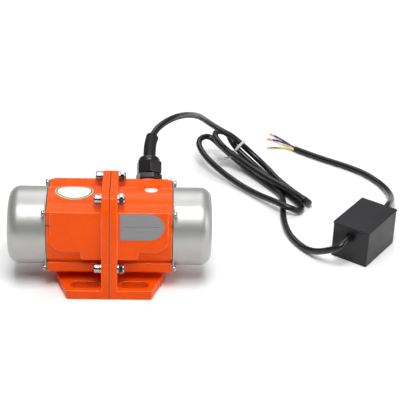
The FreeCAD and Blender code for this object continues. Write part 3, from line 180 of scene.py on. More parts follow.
# ------------------------------------------------------------------ finishes
class NodeSheet:
    """Node graph of one material, with short calls for what the finishes use."""

    def __init__(self, name: str) -> None:
        """Start a material that holds one principled shader.

        Args:
            name: Name of the finish.
        """
        self.material = bpy.data.materials.new(name + "_finish")
        self.material.use_nodes = True
        self.nodes = self.material.node_tree.nodes
        self.shader = self.nodes["Principled BSDF"]
        self.own = self.nodes.new("ShaderNodeTexCoord").outputs["Object"]

    def fill(self, node: bpy.types.Node, inputs: dict) -> bpy.types.Node:
        """Set or link a node's inputs, by name or number, and return the node.

        Args:
            node: The node.
            inputs: Values or sockets, by the input's name or number.

        Returns:
            The same node.
        """
        for key, value in inputs.items():
            if isinstance(value, Socket):
                self.material.node_tree.links.new(value, node.inputs[key])
            else:
                node.inputs[key].default_value = value
        return node

    def set(self, **inputs: object) -> None:
        """Set or link the shader's inputs, with underscores for the spaces in their names."""
        self.fill(self.shader, {key.replace("_", " "): value for key, value in inputs.items()})

    def add(self, kind: str, inputs: dict | None = None, **settings: object) -> bpy.types.Node:
        """Add a node.

        Args:
            kind: Node type without its ShaderNode prefix.
            inputs: Values or sockets for its inputs, by name or number.
            settings: Properties of the node.

        Returns:
            The new node.
        """
        node = self.nodes.new("ShaderNode" + kind)
        for key, value in settings.items():
            setattr(node, key, value)
        return self.fill(node, inputs or {})

    def maths(self, operation: str, first: Socket, second: Socket | float = 0.0) -> Socket:
        """Result of one operation on one or two values."""
        return self.add("Math", {0: first, 1: second}, operation=operation).outputs[0]

    def axes(self) -> dict[str, Socket]:
        """The piece's own X, Y and Z, by name."""
        return self.add("SeparateXYZ", {"Vector": self.own}).outputs

    def place(self, stretch: Point, turn: Point = (0, 0, 0),
              centre: Point = (0, 0, 0)) -> Socket:
        """The piece's own coordinates, moved to a centre, turned and stretched.

        Args:
            stretch: Factor along each axis after turning.
            turn: Turn of the pattern about each axis, in degrees.
            centre: Point that becomes the pattern's origin.

        Returns:
            The coordinates' socket.
        """
        where = self.own
        for change, values in (("Location", tuple(-c for c in centre)),
                               ("Rotation", tuple(math.radians(-a) for a in turn)),
                               ("Scale", stretch)):
            where = self.add("Mapping", {"Vector": where, change: values},
                             vector_type="POINT").outputs["Vector"]
        return where

    def noise(self, scale: float, detail: float = 3.0, roughness: float = 0.55,
              where: Socket | None = None) -> Socket:
        """Cloudy pattern.

        Args:
            scale: Features per metre, after any stretch.
            detail: Octaves.
            roughness: Share of the finer octaves.
            where: Coordinates, the piece's own where none are given.

        Returns:
            The pattern's value.
        """
        return self.add("TexNoise", {"Vector": where or self.own, "Scale": scale,
                                     "Detail": detail, "Roughness": roughness}).outputs["Fac"]

    def bands(self, direction: str, pitch: float, distortion: float, detail_scale: float = 1.0,
              where: Socket | None = None) -> Socket:
        """Wavy bands at a pitch in metres, across a direction.

        Args:
            direction: Axis that the bands cross.
            pitch: Distance from band to band.
            distortion: How far the bands wander.
            detail_scale: Fineness of their wandering.
            where: Coordinates, the piece's own where none are given.

        Returns:
            The pattern's value.
        """
        return self.add("TexWave", {
            "Vector": where or self.own, "Scale": 0.314 / pitch, "Distortion": distortion,
            "Detail": 2.0, "Detail Scale": detail_scale},
            wave_type="BANDS", bands_direction=direction).outputs["Fac"]

    def spread(self, value: Socket, low: float, high: float,
               start: float = 0.3, end: float = 0.7) -> Socket:
        """Stretch part of a pattern's range over low to high."""
        return self.add("MapRange", {"Value": value, "From Min": start, "From Max": end,
                                     "To Min": low, "To Max": high}).outputs["Result"]

    def tones(self, value: Socket, start: float, end: float, first: Colour, last: Colour,
              dim: float = 1.0) -> Socket:
        """Blend two colours over part of a pattern's range.

        Args:
            value: The pattern.
            start: Where the first colour ends.
            end: Where the last colour begins.
            first: Colour below the start.
            last: Colour above the end.
            dim: Factor on the first colour's light.

        Returns:
            The colour's socket.
        """
        ramp = self.add("ValToRGB", {"Fac": value})
        for element, place, colour in zip(ramp.color_ramp.elements, (start, end),
                                          (linear(first, dim), linear(last))):
            element.position, element.color = place, colour
        return ramp.outputs["Color"]

    def over(self, share: Socket, under: Socket, colour: Colour) -> Socket:
        """Lay a plain colour over another by a share from 0 to 1."""
        return self.add("Mix", {0: share, 6: under, 7: linear(colour)},
                        data_type="RGBA").outputs[2]

    def rounded(self, radius: float, samples: int) -> Socket:
        """Normal of the surface with its edges rounded to a radius."""
        return self.add("Bevel", {"Radius": radius}, samples=samples).outputs["Normal"]

    def emboss(self, height: Socket, depth: float, strength: float = 1.0,
               over: Socket | None = None) -> Socket:
        """Raise the surface by a pattern and feed the shader's normal.

        Args:
            height: Pattern from 0 to 1.
            depth: Height of the relief in metres.
            strength: Share of the relief that shows.
            over: Normal of a relief under this one.

        Returns:
            The new normal.
        """
        inputs = {"Height": height, "Distance": depth, "Strength": strength}
        if over is not None:
            inputs["Normal"] = over
        normal = self.add("Bump", inputs).outputs["Normal"]
        self.set(Normal=normal)
        return normal


@dataclass(frozen=True)
class SurfaceFinish:
    """What every finish has: its slot's name, its colour and a second, mostly darker one."""

    name: str
    colour: Colour
    shade: Colour

    def make(self) -> Material:
        """Build the finish.

        Returns:
            The material.
        """
        sheet = NodeSheet(self.name)
        self.draw(sheet)
        return sheet.material

    def draw(self, sheet: NodeSheet) -> None:
        """Lay the finish on a fresh sheet.

        Args:
            sheet: Sheet that takes it.
        """
        raise NotImplementedError

    def blend(self, sheet: NodeSheet, pattern: Socket, start: float, end: float) -> Socket:
        """Run from the second colour to the first over part of a pattern's range.

        Args:
            sheet: Sheet that takes it.
            pattern: The pattern.
            start: Where the second colour ends.
            end: Where the first colour begins.

        Returns:
            The colour's socket.
        """
        return sheet.tones(pattern, start, end, self.shade, self.colour)


@dataclass(frozen=True)
class CastPaint(SurfaceFinish):
    """Gloss paint over a die casting, with sealant in the joint between its two halves."""

    sealant: Colour
    # Painted highlight colour that the edges run towards; it also stands for paint that runs thin
    # on the edges.
    highlight_and_thin_paint: Colour
    roughness: float = 0.3
    edge: float = 0.0019
    joint_width: float = 0.0009

    def draw(self, sheet: NodeSheet) -> None:
        """Lay clouded paint, lighter on the edges as a painted highlight and as paint that runs
        thin there, and glossier on them.

        Args:
            sheet: Sheet that takes it.
        """
        ground = self.blend(sheet, sheet.noise(26, 4, 0.6), 0.32, 0.68)
        rounded = sheet.rounded(self.edge, 8)
        flat = sheet.add("VectorMath", {
            0: rounded, 1: sheet.add("NewGeometry").outputs["Normal"]},
            operation="DOT_PRODUCT").outputs["Value"]
        # Painted highlight: the colour runs toward a lighter orange wherever the rounded normal
        # leaves the face's own, partly for thin paint on the edges.
        edge_highlighted = sheet.over(sheet.spread(flat, 0.4, 0.0, 0.9, 0.99), ground, self.highlight_and_thin_paint)
        joint = sheet.maths("LESS_THAN", sheet.maths("ABSOLUTE", sheet.axes()["X"]),
                            self.joint_width / 2)
        grain = sheet.spread(sheet.noise(170, 5), self.roughness - 0.06, self.roughness + 0.1)
        sheet.set(Specular_IOR_Level=0.1, Roughness=grain,
                  Base_Color=sheet.over(joint, edge_highlighted, self.sealant),
                  Coat_Weight=sheet.spread(flat, 1.0, 0.05, 0.92, 0.998),
                  Coat_Roughness=0.12, Coat_Normal=rounded)
        waves = sheet.emboss(sheet.noise(95, 2), 0.00016, 0.5, rounded)
        sheet.emboss(sheet.noise(900, 2, 0.5), 0.00003, 0.5, waves)


@dataclass(frozen=True)
class DrawnMetal(SurfaceFinish):
    """Satin sheet metal with fine marks that run round the shaft."""

    metallic: float = 0.85
    roughness: float = 0.34

    def draw(self, sheet: NodeSheet) -> None:
        """Lay clouded metal with ring marks.

        Args:
            sheet: Sheet that takes it.
        """
        marks = sheet.noise(1.0, 4, 0.7, sheet.place((2600, 9, 9)))
        sheet.set(Metallic=self.metallic, Specular_IOR_Level=0.5,
                  Base_Color=self.blend(sheet, sheet.noise(38, 4, 0.6), 0.3, 0.7),
                  Roughness=sheet.spread(marks, self.roughness - 0.07, self.roughness + 0.08))
        fine = sheet.emboss(marks, 0.00001, 0.7)
        sheet.emboss(sheet.noise(1500, 3), 0.000012, 0.5, fine)


@dataclass(frozen=True)
class MachinedMetal(SurfaceFinish):
    """Turned or milled metal with a fine grain and a few darker stains."""

    roughness: float = 0.28
    grain: float = 1800.0
    relief: float = 0.000012

    def draw(self, sheet: NodeSheet) -> None:
        """Lay stained metal with a fine grain.

        Args:
            sheet: Sheet that takes it.
        """
        sheet.set(Metallic=1.0,
                  Base_Color=self.blend(sheet, sheet.noise(240, 5, 0.65), 0.3, 0.62),
                  Roughness=sheet.spread(sheet.noise(700, 4), self.roughness - 0.05,
                                         self.roughness + 0.08))
        sheet.emboss(sheet.noise(self.grain, 3, 0.6), self.relief, 0.8)


@dataclass(frozen=True)
class MouldedPlastic(SurfaceFinish):
    """Rubber, nylon or PVC with a moulded grain."""

    roughness: float = 0.42
    grain: float = 1600.0
    relief: float = 0.00003
    specular: float = 0.2
    edge: float = 0.0

    def draw(self, sheet: NodeSheet) -> None:
        """Lay clouded plastic, with its edges rounded where it has an edge radius.

        Args:
            sheet: Sheet that takes it.
        """
        sheet.set(Specular_IOR_Level=self.specular,
                  Base_Color=self.blend(sheet, sheet.noise(60, 5, 0.6), 0.35, 0.7),
                  Roughness=sheet.spread(sheet.noise(90, 4), self.roughness - 0.03,
                                         self.roughness + 0.04))
        sheet.emboss(sheet.noise(self.grain, 3, 0.6), self.relief, 0.7,
                     sheet.rounded(self.edge, 6) if self.edge else None)


@dataclass(frozen=True)
class SheetStack(SurfaceFinish):
    """Punched laminations pressed into a stack along the shaft."""

    pitch: float = 0.0005

    def draw(self, sheet: NodeSheet) -> None:
        """Lay steel with a band for each sheet.

        Args:
            sheet: Sheet that takes it.
        """
        bands = sheet.bands("X", self.pitch, 0.6, 3.0)
        sheet.set(Metallic=1.0, Base_Color=self.blend(sheet, bands, 0.25, 0.7),
                  Roughness=sheet.spread(sheet.noise(500, 4), 0.38, 0.55))
        sheet.emboss(bands, 0.00006, 0.9)


@dataclass(frozen=True)
class WoundWire(SurfaceFinish):
    """Enamelled copper wire laid in coils."""

    pitch: float = 0.0007

    def draw(self, sheet: NodeSheet) -> None:
        """Lay a coat of enamel over slanting wires.

        Args:
            sheet: Sheet that takes it.
        """
        wires = sheet.bands("DIAGONAL", self.pitch, 5.0, 1.5)
        sheet.set(Metallic=0.9, Coat_Weight=0.6, Coat_Roughness=0.15,
                  Base_Color=self.blend(sheet, wires, 0.2, 0.75),
                  Roughness=sheet.spread(sheet.noise(300, 4), 0.25, 0.45))
        sheet.emboss(wires, 0.0003, 0.9)


@dataclass(frozen=True)
class BlankPlate(SurfaceFinish):
    """Silvered plate with one thin printed rule and nothing written on it."""

    ink: Colour
    first_x: float = 0.0128
    last_x: float = 0.0500
    rule_z: float = 0.0762
    rule_width: float = 0.00035

    def draw(self, sheet: NodeSheet) -> None:
        """Lay brushed metal with the rule across it.

        Args:
            sheet: Sheet that takes it.
        """
        grain = sheet.noise(1.0, 4, 0.65, sheet.place((35, 900, 1800)))
        axes = sheet.axes()
        off = sheet.maths("ABSOLUTE", sheet.maths("SUBTRACT", axes["Z"], self.rule_z))
        inside = sheet.maths("MULTIPLY", sheet.maths("GREATER_THAN", axes["X"], self.first_x),
                             sheet.maths("LESS_THAN", axes["X"], self.last_x))
        rule = sheet.maths("MULTIPLY", sheet.maths("LESS_THAN", off, self.rule_width / 2),
                           inside)
        sheet.set(Metallic=0.55, Coat_Weight=0.3, Coat_Roughness=0.1,
                  Base_Color=sheet.over(rule, self.blend(sheet, grain, 0.3, 0.7), self.ink),
                  Roughness=sheet.spread(grain, 0.3, 0.46))
        sheet.emboss(grain, 0.00001, 0.8)


@dataclass(frozen=True)
class OvalSticker(SurfaceFinish):
    """Paper sticker, plain but for a printed rim in its second colour."""

    centre: Point
    half_length: float
    half_width: float
    rim: float
    margin: float = 0.035

    def draw(self, sheet: NodeSheet) -> None:
        """Lay paper with the rim just inside its edge.

        Args:
            sheet: Sheet that takes it.
        """
        where = sheet.place((1 / self.half_length, 1 / self.half_width, 0), centre=self.centre)
        reach = sheet.add("VectorMath", {0: where}, operation="LENGTH").outputs["Value"]
        rim = sheet.maths("MULTIPLY", sheet.maths("GREATER_THAN", reach, 1 - self.rim),
                          sheet.maths("LESS_THAN", reach, 1 - self.margin))
        fibres = sheet.noise(700, 5, 0.7)
        paper = sheet.tones(fibres, 0.3, 0.7, self.colour, self.colour, 0.9)
        sheet.set(Coat_Weight=0.25, Coat_Roughness=0.2, Specular_IOR_Level=0.4,
                  Base_Color=sheet.over(rim, paper, self.shade),
                  Roughness=sheet.spread(fibres, 0.38, 0.55))
        sheet.emboss(fibres, 0.00002, 0.5)


@dataclass(frozen=True)
class StripedPvc(SurfaceFinish):
    """Insulation with its second colour wound round as a stripe."""

    pitch: float = 0.011

    def draw(self, sheet: NodeSheet) -> None:
        """Lay the two colours as slanting bands.

        Args:
            sheet: Sheet that takes it.
        """
        bands = sheet.bands("DIAGONAL", self.pitch, 0.4,
                            where=sheet.place((1, 1, 2.2), (0, 0, 20)))
        sheet.set(Base_Color=sheet.tones(bands, 0.48, 0.56, self.colour, self.shade),
                  Roughness=sheet.spread(sheet.noise(600, 4), 0.34, 0.46))
        sheet.emboss(sheet.noise(1800, 2), 0.00002, 0.5)


class Finish(Enum):
    """Every finish on the motor, by the name of its slot in the record."""

    # The last colour is the painted edge highlight, which also stands for paint that runs thin on
    # the edges.
    ORANGE_PAINT = CastPaint("orange_paint", (237, 83, 5), (232, 77, 3), (60, 24, 12),
                             (255, 128, 62))
    CAP_METAL = DrawnMetal("cap_metal", (178, 178, 176), (168, 168, 166), 0.7, 0.43)
    GASKET_RUBBER = MouldedPlastic("gasket_rubber", (74, 84, 78), (58, 66, 62), 0.6)
    BLACK_RUBBER = MouldedPlastic("black_rubber", (26, 26, 27), (18, 18, 19), 0.5)
    STAINLESS_STEEL = MachinedMetal("stainless_steel", (178, 177, 175), (150, 148, 146), 0.22,
                                    1800, 0.000004)
    ELECTRICAL_STEEL = SheetStack("electrical_steel", (140, 143, 147), (70, 72, 76))
    WINDING_COPPER = WoundWire("winding_copper", (196, 110, 62), (112, 52, 24))
    CAST_ALUMINIUM = MachinedMetal("cast_aluminium", (190, 192, 194), (158, 160, 163), 0.42,
                                   900, 0.00006)
    SHAFT_STEEL = DrawnMetal("shaft_steel", (186, 186, 188), (160, 160, 164), 1.0, 0.24)
    BEARING_STEEL = MachinedMetal("bearing_steel", (205, 206, 208), (180, 181, 184), 0.14,
                                  2600, 0.000004)
    CAGE_BRASS = MachinedMetal("cage_brass", (205, 168, 92), (170, 132, 62), 0.3)
    WEIGHT_STEEL = MachinedMetal("weight_steel", (150, 150, 152), (96, 94, 94), 0.46, 800,
                                 0.00005)
    NAMEPLATE_METAL = BlankPlate("nameplate_metal", (134, 133, 133), (122, 122, 123),
                                 (70, 72, 76))
    LABEL_PLASTIC = OvalSticker("label_plastic", (222, 226, 222), (40, 122, 76),
                                (-0.036, 0.0, 0.0), 0.019, 0.013, 0.12)
    SMALL_LABEL = OvalSticker("small_label", (226, 226, 222), (226, 226, 222),
                              (0.041, 0.004, 0.0), 0.0065, 0.0052, 0.0)
    GLAND_NYLON = MouldedPlastic("gland_nylon", (24, 24, 27), (17, 17, 19), 0.24, 1300,
                                 0.000008, 0.5, 0.0008)
    CORD_PVC = MouldedPlastic("cord_pvc", (21, 21, 22), (17, 17, 18), 0.27, 2600, 0.000001, 0.42)
    SLEEVE_RUBBER = MouldedPlastic("sleeve_rubber", (34, 34, 37), (28, 28, 30), 0.55, 1500,
                                   0.00001, 0.16)
    TIE_NYLON = MouldedPlastic("tie_nylon", (206, 208, 208), (178, 181, 182), 0.32, 900, 0.00002)
    BOX_PLASTIC = MouldedPlastic("box_plastic", (34, 34, 37), (28, 28, 31), 0.42, 2600,
                                 0.000006, 0.35, 0.0010)
    CORE_BLUE_PVC = MouldedPlastic("core_blue_pvc", (40, 72, 168), (28, 54, 140), 0.36)
    CORE_BROWN_PVC = MouldedPlastic("core_brown_pvc", (116, 62, 52), (88, 44, 36), 0.36)
    CORE_EARTH_PVC = StripedPvc("core_earth_pvc", (222, 206, 48), (72, 150, 62))
    BARE_COPPER = MachinedMetal("bare_copper", (238, 160, 120), (206, 112, 74), 0.3, 2600,
                                0.00001)

    @property
    def material(self) -> Material:
        """The finish's material, made the first time it is asked for."""
        return bpy.data.materials.get(self.value.name + "_finish") or self.value.make()

    @property
    def slot(self) -> str:
        """The record's slot that the finish belongs to.

        Returns:
            The slot's name.
        """
        shared = {"small_label": "label_plastic", "black_rubber": "gasket_rubber",
                  "sleeve_rubber": "cord_pvc"}
        return shared.get(self.value.name, self.value.name)


# ------------------------------------------------------------------ shaping
def merged_copy(node: str) -> Mesh:
    """Closed copy of a frame node, with its loose triangles joined into whole faces.

    Args:
        node: Name of the frame node.

    Returns:
        The copy.
    """
    bm = bmesh.new()
    bm.from_mesh(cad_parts[node].data)
    bmesh.ops.remove_doubles(bm, verts=bm.verts, dist=2e-6)
    bmesh.ops.dissolve_limit(bm, angle_limit=math.radians(0.3), verts=bm.verts, edges=bm.edges,
                             use_dissolve_boundaries=False, delimit={"NORMAL"})
    return bm


def soften(bm: Mesh, width: float) -> None:
    """Round a mesh's sharp edges.

    Args:
        bm: The mesh.
        width: Width of the rounding.
    """
    sharp = [e for e in bm.edges if len(e.link_faces) == 2 and e.calc_length() > 0.0
             and e.calc_face_angle(0.0) > math.radians(SHARP_ANGLE)]
    bmesh.ops.bevel(bm, geom=sharp, offset=width, offset_type="OFFSET", segments=2,
                    profile=0.5, affect="EDGES", clamp_overlap=False, material=-1,
                    loop_slide=True)


def lasting(name: str, bm: Mesh) -> bpy.types.Mesh:
    """Turn a working mesh, which is used up, into a lasting one.

    Args:
        name: Name of the new mesh.
        bm: The working mesh.

    Returns:
        The new mesh.
    """
    mesh = bpy.data.meshes.new(name)
    bm.to_mesh(mesh)
    bm.free()
    return mesh


def finished(name: str, bm: Mesh, finish: Finish, node: str,
             sharp: float = 48.0) -> Piece:
    """Turn a mesh into a dressed piece.

    Args:
        name: Name of the piece.
        bm: Its mesh, which is used up.
        finish: Its finish.
        node: Frame node that it stands for.
        sharp: Edges over this angle, in degrees, stay crisp in the shading.

    Returns:
        The piece.
    """
    for face in bm.faces:
        face.smooth = True
    for edge in bm.edges:
        edge.smooth = edge.calc_face_angle(0.0) < math.radians(sharp)
    mesh = lasting(name, bm)
    mesh.materials.append(finish.material)
    piece = stand(name, mesh)
    even = piece.modifiers.new("even_shading", "WEIGHTED_NORMAL")
    even.mode, even.weight, even.keep_sharp = "FACE_AREA", 100, True
    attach(piece, STATOR_BODY)
    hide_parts(node)
    log.info("%s: %d faces, %s", name, len(mesh.polygons), finish.name)
    return piece


def softened_node(node: str, finish: Finish, width: float) -> Piece:
    """Piece with a frame node's shape and its edges rounded to a width.

    Args:
        node: Name of the frame node, which the piece stands for.
        finish: Its finish.
        width: Width of the rounding.

    Returns:
        The piece.
    """
    bm = merged_copy(node)
    soften(bm, width)
    return finished(node + "_dressed", bm, finish, node)


def dress(finish: Finish, *nodes: str) -> None:
    """Give frame nodes that keep their own shape a finish.

    Args:
        finish: The finish.
        nodes: Names of the frame nodes.
    """
    for name in nodes:
        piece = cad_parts[name]
        if not piece.material_slots:
            piece.data.materials.append(finish.material)
        for slot in piece.material_slots:
            slot.material = finish.material
        log.info("%s: frame shape, %s", name, finish.name)


def square_up(bm: Mesh, verts: Verts) -> None:
    """Turn the faces of new vertices outwards."""
    bmesh.ops.recalc_face_normals(bm, faces=list({f for v in verts for f in v.link_faces}))


def lathe(bm: Mesh, profile: Profile, steps: int = 48) -> Verts:
    """Turn a profile about Z.

    Args:
        bm: Mesh that takes the new shape.
        profile: Radius and height of each corner, closed at the axis or on itself.
        steps: Faces round the turn.

    Returns:
        The new vertices.
    """
    before = set(bm.verts)
    verts = [bm.verts.new((r, 0, z)) for r, z in profile]
    edges = [bm.edges.new(pair) for pair in zip(verts, verts[1:])]
    bmesh.ops.spin(bm, geom=verts + edges, cent=(0, 0, 0), axis=(0, 0, 1), dvec=(0, 0, 0),
                   angle=2 * math.pi, steps=steps, use_merge=True, use_duplicate=False)
    made = [v for v in bm.verts if v not in before]
    bmesh.ops.remove_doubles(bm, verts=made, dist=1e-7)
    made = [v for v in bm.verts if v not in before]
    square_up(bm, made)
    return made


def flat_reach(vert: bmesh.types.BMVert, half_flats: float) -> float:
    """Distance from Z to a hexagon's flat, on the ray through a vertex."""
    return half_flats / math.cos(math.atan2(vert.co.y, vert.co.x) % (math.pi / 3) - math.pi / 6)


def along(direction: Point, start: Point, turn: float = 0.0) -> Matrix:
    """Placement that takes Z to a direction and the origin to a start.

    Args:
        direction: Where Z goes.
        start: Where the origin goes.
        turn: Turn about Z first, in degrees.

    Returns:
        The placement.
    """
    spin = Matrix.Rotation(math.radians(turn), 4, "Z")
    aim = Vector(direction).to_track_quat("Z", "Y").to_matrix().to_4x4()
    return Matrix.Translation(start) @ aim @ spin


def framed(x: Vector, y: Vector, z: Vector, origin: Vector) -> Matrix:
    """Placement that turns the axes and moves the origin.

    Args:
        x: Where X goes.
        y: Where Y goes.
        z: Where Z goes.
        origin: Where the origin goes.

    Returns:
        The placement.
    """
    place = Matrix((x, y, z)).transposed().to_4x4()
    place.translation = origin
    return place


def stations(line: list[Vector]) -> list[Matrix]:
    """Untwisted placements along a line, Z ahead.

    Args:
        line: The line.

    Returns:
        A placement at each of its points.
    """
    ahead = (line[1] - line[0]).normalized()
    turn = ahead.to_track_quat("Z", "Y")
    placed = []
    for i, point in enumerate(line):
        before, after = line[max(i - 1, 0)], line[min(i + 1, len(line) - 1)]
        now = (after - before).normalized()
        turn = ahead.rotation_difference(now) @ turn
        ahead = now
        placed.append(Matrix.Translation(point) @ turn.to_matrix().to_4x4())
    return placed


def draw_through(bm: Mesh, ring: Verts, places: list[Matrix]) -> None:
    """Draw a closed ring from its first place through the others and cap its end.

    Args:
        bm: Mesh that holds the ring and takes the new shape.
        ring: The ring, which stands at the first place.
        places: Where it passes.
    """
    made, edges = list(ring), list({e for v in ring for e in v.link_edges})
    for last, place in zip(places, places[1:]):
        new = bmesh.ops.extrude_edge_only(bm, edges=edges)["geom"]
        verts = [g for g in new if isinstance(g, bmesh.types.BMVert)]
        edges = [g for g in new if isinstance(g, bmesh.types.BMEdge)
                 and all(v in verts for v in g.verts)]
        bmesh.ops.transform(bm, matrix=place @ last.inverted(), verts=verts)
        made += verts
    bmesh.ops.edgenet_fill(bm, edges=edges)
    square_up(bm, made)


def sweep(bm: Mesh, line: list[Vector], radii: list[float], sides: int) -> None:
    """Round tube with a radius of its own at each point of a line.

    Args:
        bm: Mesh that takes the tube.
        line: Its centre line.
        radii: Radius at each point.
        sides: Faces round the tube.
    """
    places = [place @ Matrix.Scale(radius / radii[0], 4)
              for place, radius in zip(stations(line), radii)]
    ring = bmesh.ops.create_circle(bm, cap_ends=True, segments=sides, radius=radii[0],
                                   matrix=places[0])["verts"]
    draw_through(bm, ring, places)


def length_of(line: list[Vector]) -> float:
    """Length of a line."""
    return sum((b - a).length for a, b in zip(line, line[1:]))


def part_of(line: list[Vector], start: float, end: float, steps: int) -> list[Vector]:
    """Even points between two distances along a line.

    Args:
        line: The line.
        start: Distance of the first point from the line's start.
        end: Distance of the last point.
        steps: Number of runs between them.

    Returns:
        The points.
    """
    marks = [start + (end - start) * i / steps for i in range(steps + 1)]
    found, gone = [], 0.0
    for a, b in zip(line, line[1:]):
        run = (b - a).length
        while marks and marks[0] <= gone + run:
            found.append(a.lerp(b, (marks.pop(0) - gone) / run))
        gone += run
    return found + [line[-1]] * len(marks)


def smooth_curve(name: str, route: list[Point], fineness: int) -> bpy.types.Curve:
    """Smooth curve along a route that starts and ends on its end points.

    Args:
        name: Name of the curve.
        route: Its route.
        fineness: Steps from point to point.

    Returns:
        The curve.
    """
    data = bpy.data.curves.new(name, "CURVE")
    data.dimensions, data.resolution_u = "3D", fineness
    spline = data.splines.new("NURBS")
    spline.points.add(len(route) - 1)
    for point, place in zip(spline.points, route):
        point.co = (*place, 1.0)
    spline.order_u, spline.use_endpoint_u, spline.resolution_u = 3, True, fineness
    return data


def points_on(data: bpy.types.Curve) -> list[Vector]:
    """Points along a curve that has no thickness and is used up.

    Args:
        data: The curve.

    Returns:
        The points.
    """
    holder = bpy.data.objects.new("line_reader", data)
    mesh = bpy.data.meshes.new_from_object(holder)
    points = [v.co.copy() for v in mesh.vertices]
    bpy.data.objects.remove(holder)
    bpy.data.curves.remove(data)
    bpy.data.meshes.remove(mesh)
    return points


# ------------------------------------------------------------------ leads
@dataclass
class Lead:
    """Round lead on one smooth line through its given route."""

    name: str
    route: list[Point]
    diameter: float
    finish: Finish
    node: str

    def lay(self) -> "Lead":
        """Build the lead's curve.

        Returns:
            The lead itself.
        """
        data = smooth_curve(self.name, self.route, 9)
        data.bevel_depth, data.bevel_resolution, data.use_fill_caps = self.diameter / 2, 5, True
        data.materials.append(self.finish.material)
        self.piece = stand(self.name, data)
        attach(self.piece, STATOR_BODY)
        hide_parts(self.node)
        log.info("%s: %d route points, length %.3f", self.name, len(self.route),
                 length_of(self.line()))
        return self

    def line(self) -> list[Vector]:
        """Centre line of the lead, read from its own curve.

        Returns:
            Its points.
        """
        bare = self.piece.data.copy()
        bare.bevel_depth = 0.0
        return points_on(bare)


@dataclass
class LeadSet:
    """Motor lead, supply lead behind the box, and the supply lead's three stripped cores."""

    strand_radius: float = 0.00017
    strand_count: int = 11
    strand_spread: float = 0.00078
    strand_pitch: float = 2.4
    tip_length: float = 0.009
    root: float = 0.001

    def lay(self) -> None:
        """Build the leads and the cores."""
        self.motor_lead, self.supply_lead = (
            Lead(node + "_jacket", route, LEAD_DIAMETER, Finish.CORD_PVC, node).lay()
            for node, route in (("motor_lead", MOTOR_LEAD), ("supply_lead", SUPPLY_LEAD)))
        self.cores = [Lead(name + "_insulation", route, CORE_DIAMETER,
                           Finish[name.upper() + "_PVC"], name).lay()
                      for name, route in CORES.items()]
        self.tips = self.strands()

    def strands(self) -> Piece:
        """Build the bare strands that splay from each core.

        Returns:
            The strands of all three cores.
        """
        bm = bmesh.new()
        chance = random.Random(11)
        for core, tip in zip(self.cores, CORE_TIPS):
            start = core.line()[-1]
            ahead = (Vector(tip) - start).normalized()
            across = ahead.orthogonal().normalized()
            for i in range(self.strand_count):
                reach = self.strand_spread * math.sqrt((i + 0.5) / self.strand_count)
                side = Quaternion(ahead, self.strand_pitch * i) @ across
                begin = start - self.root * ahead + reach * 0.9 * side
                middle = start + 0.45 * self.tip_length * ahead + reach * 1.5 * side
                end = (start + chance.uniform(0.78, 0.95) * self.tip_length * ahead
                       + reach * chance.uniform(1.3, 2.0) * side)
                for point in (middle, end):
                    point.z = max(point.z, self.strand_radius)
                points = [begin.lerp(middle, t).lerp(middle.lerp(end, t), t)
                          for t in (0, 0.25, 0.5, 0.75, 1)]
                sweep(bm, points, [self.strand_radius] * len(points), 6)
        return finished("core_strands", bm, Finish.BARE_COPPER, "core_tips")


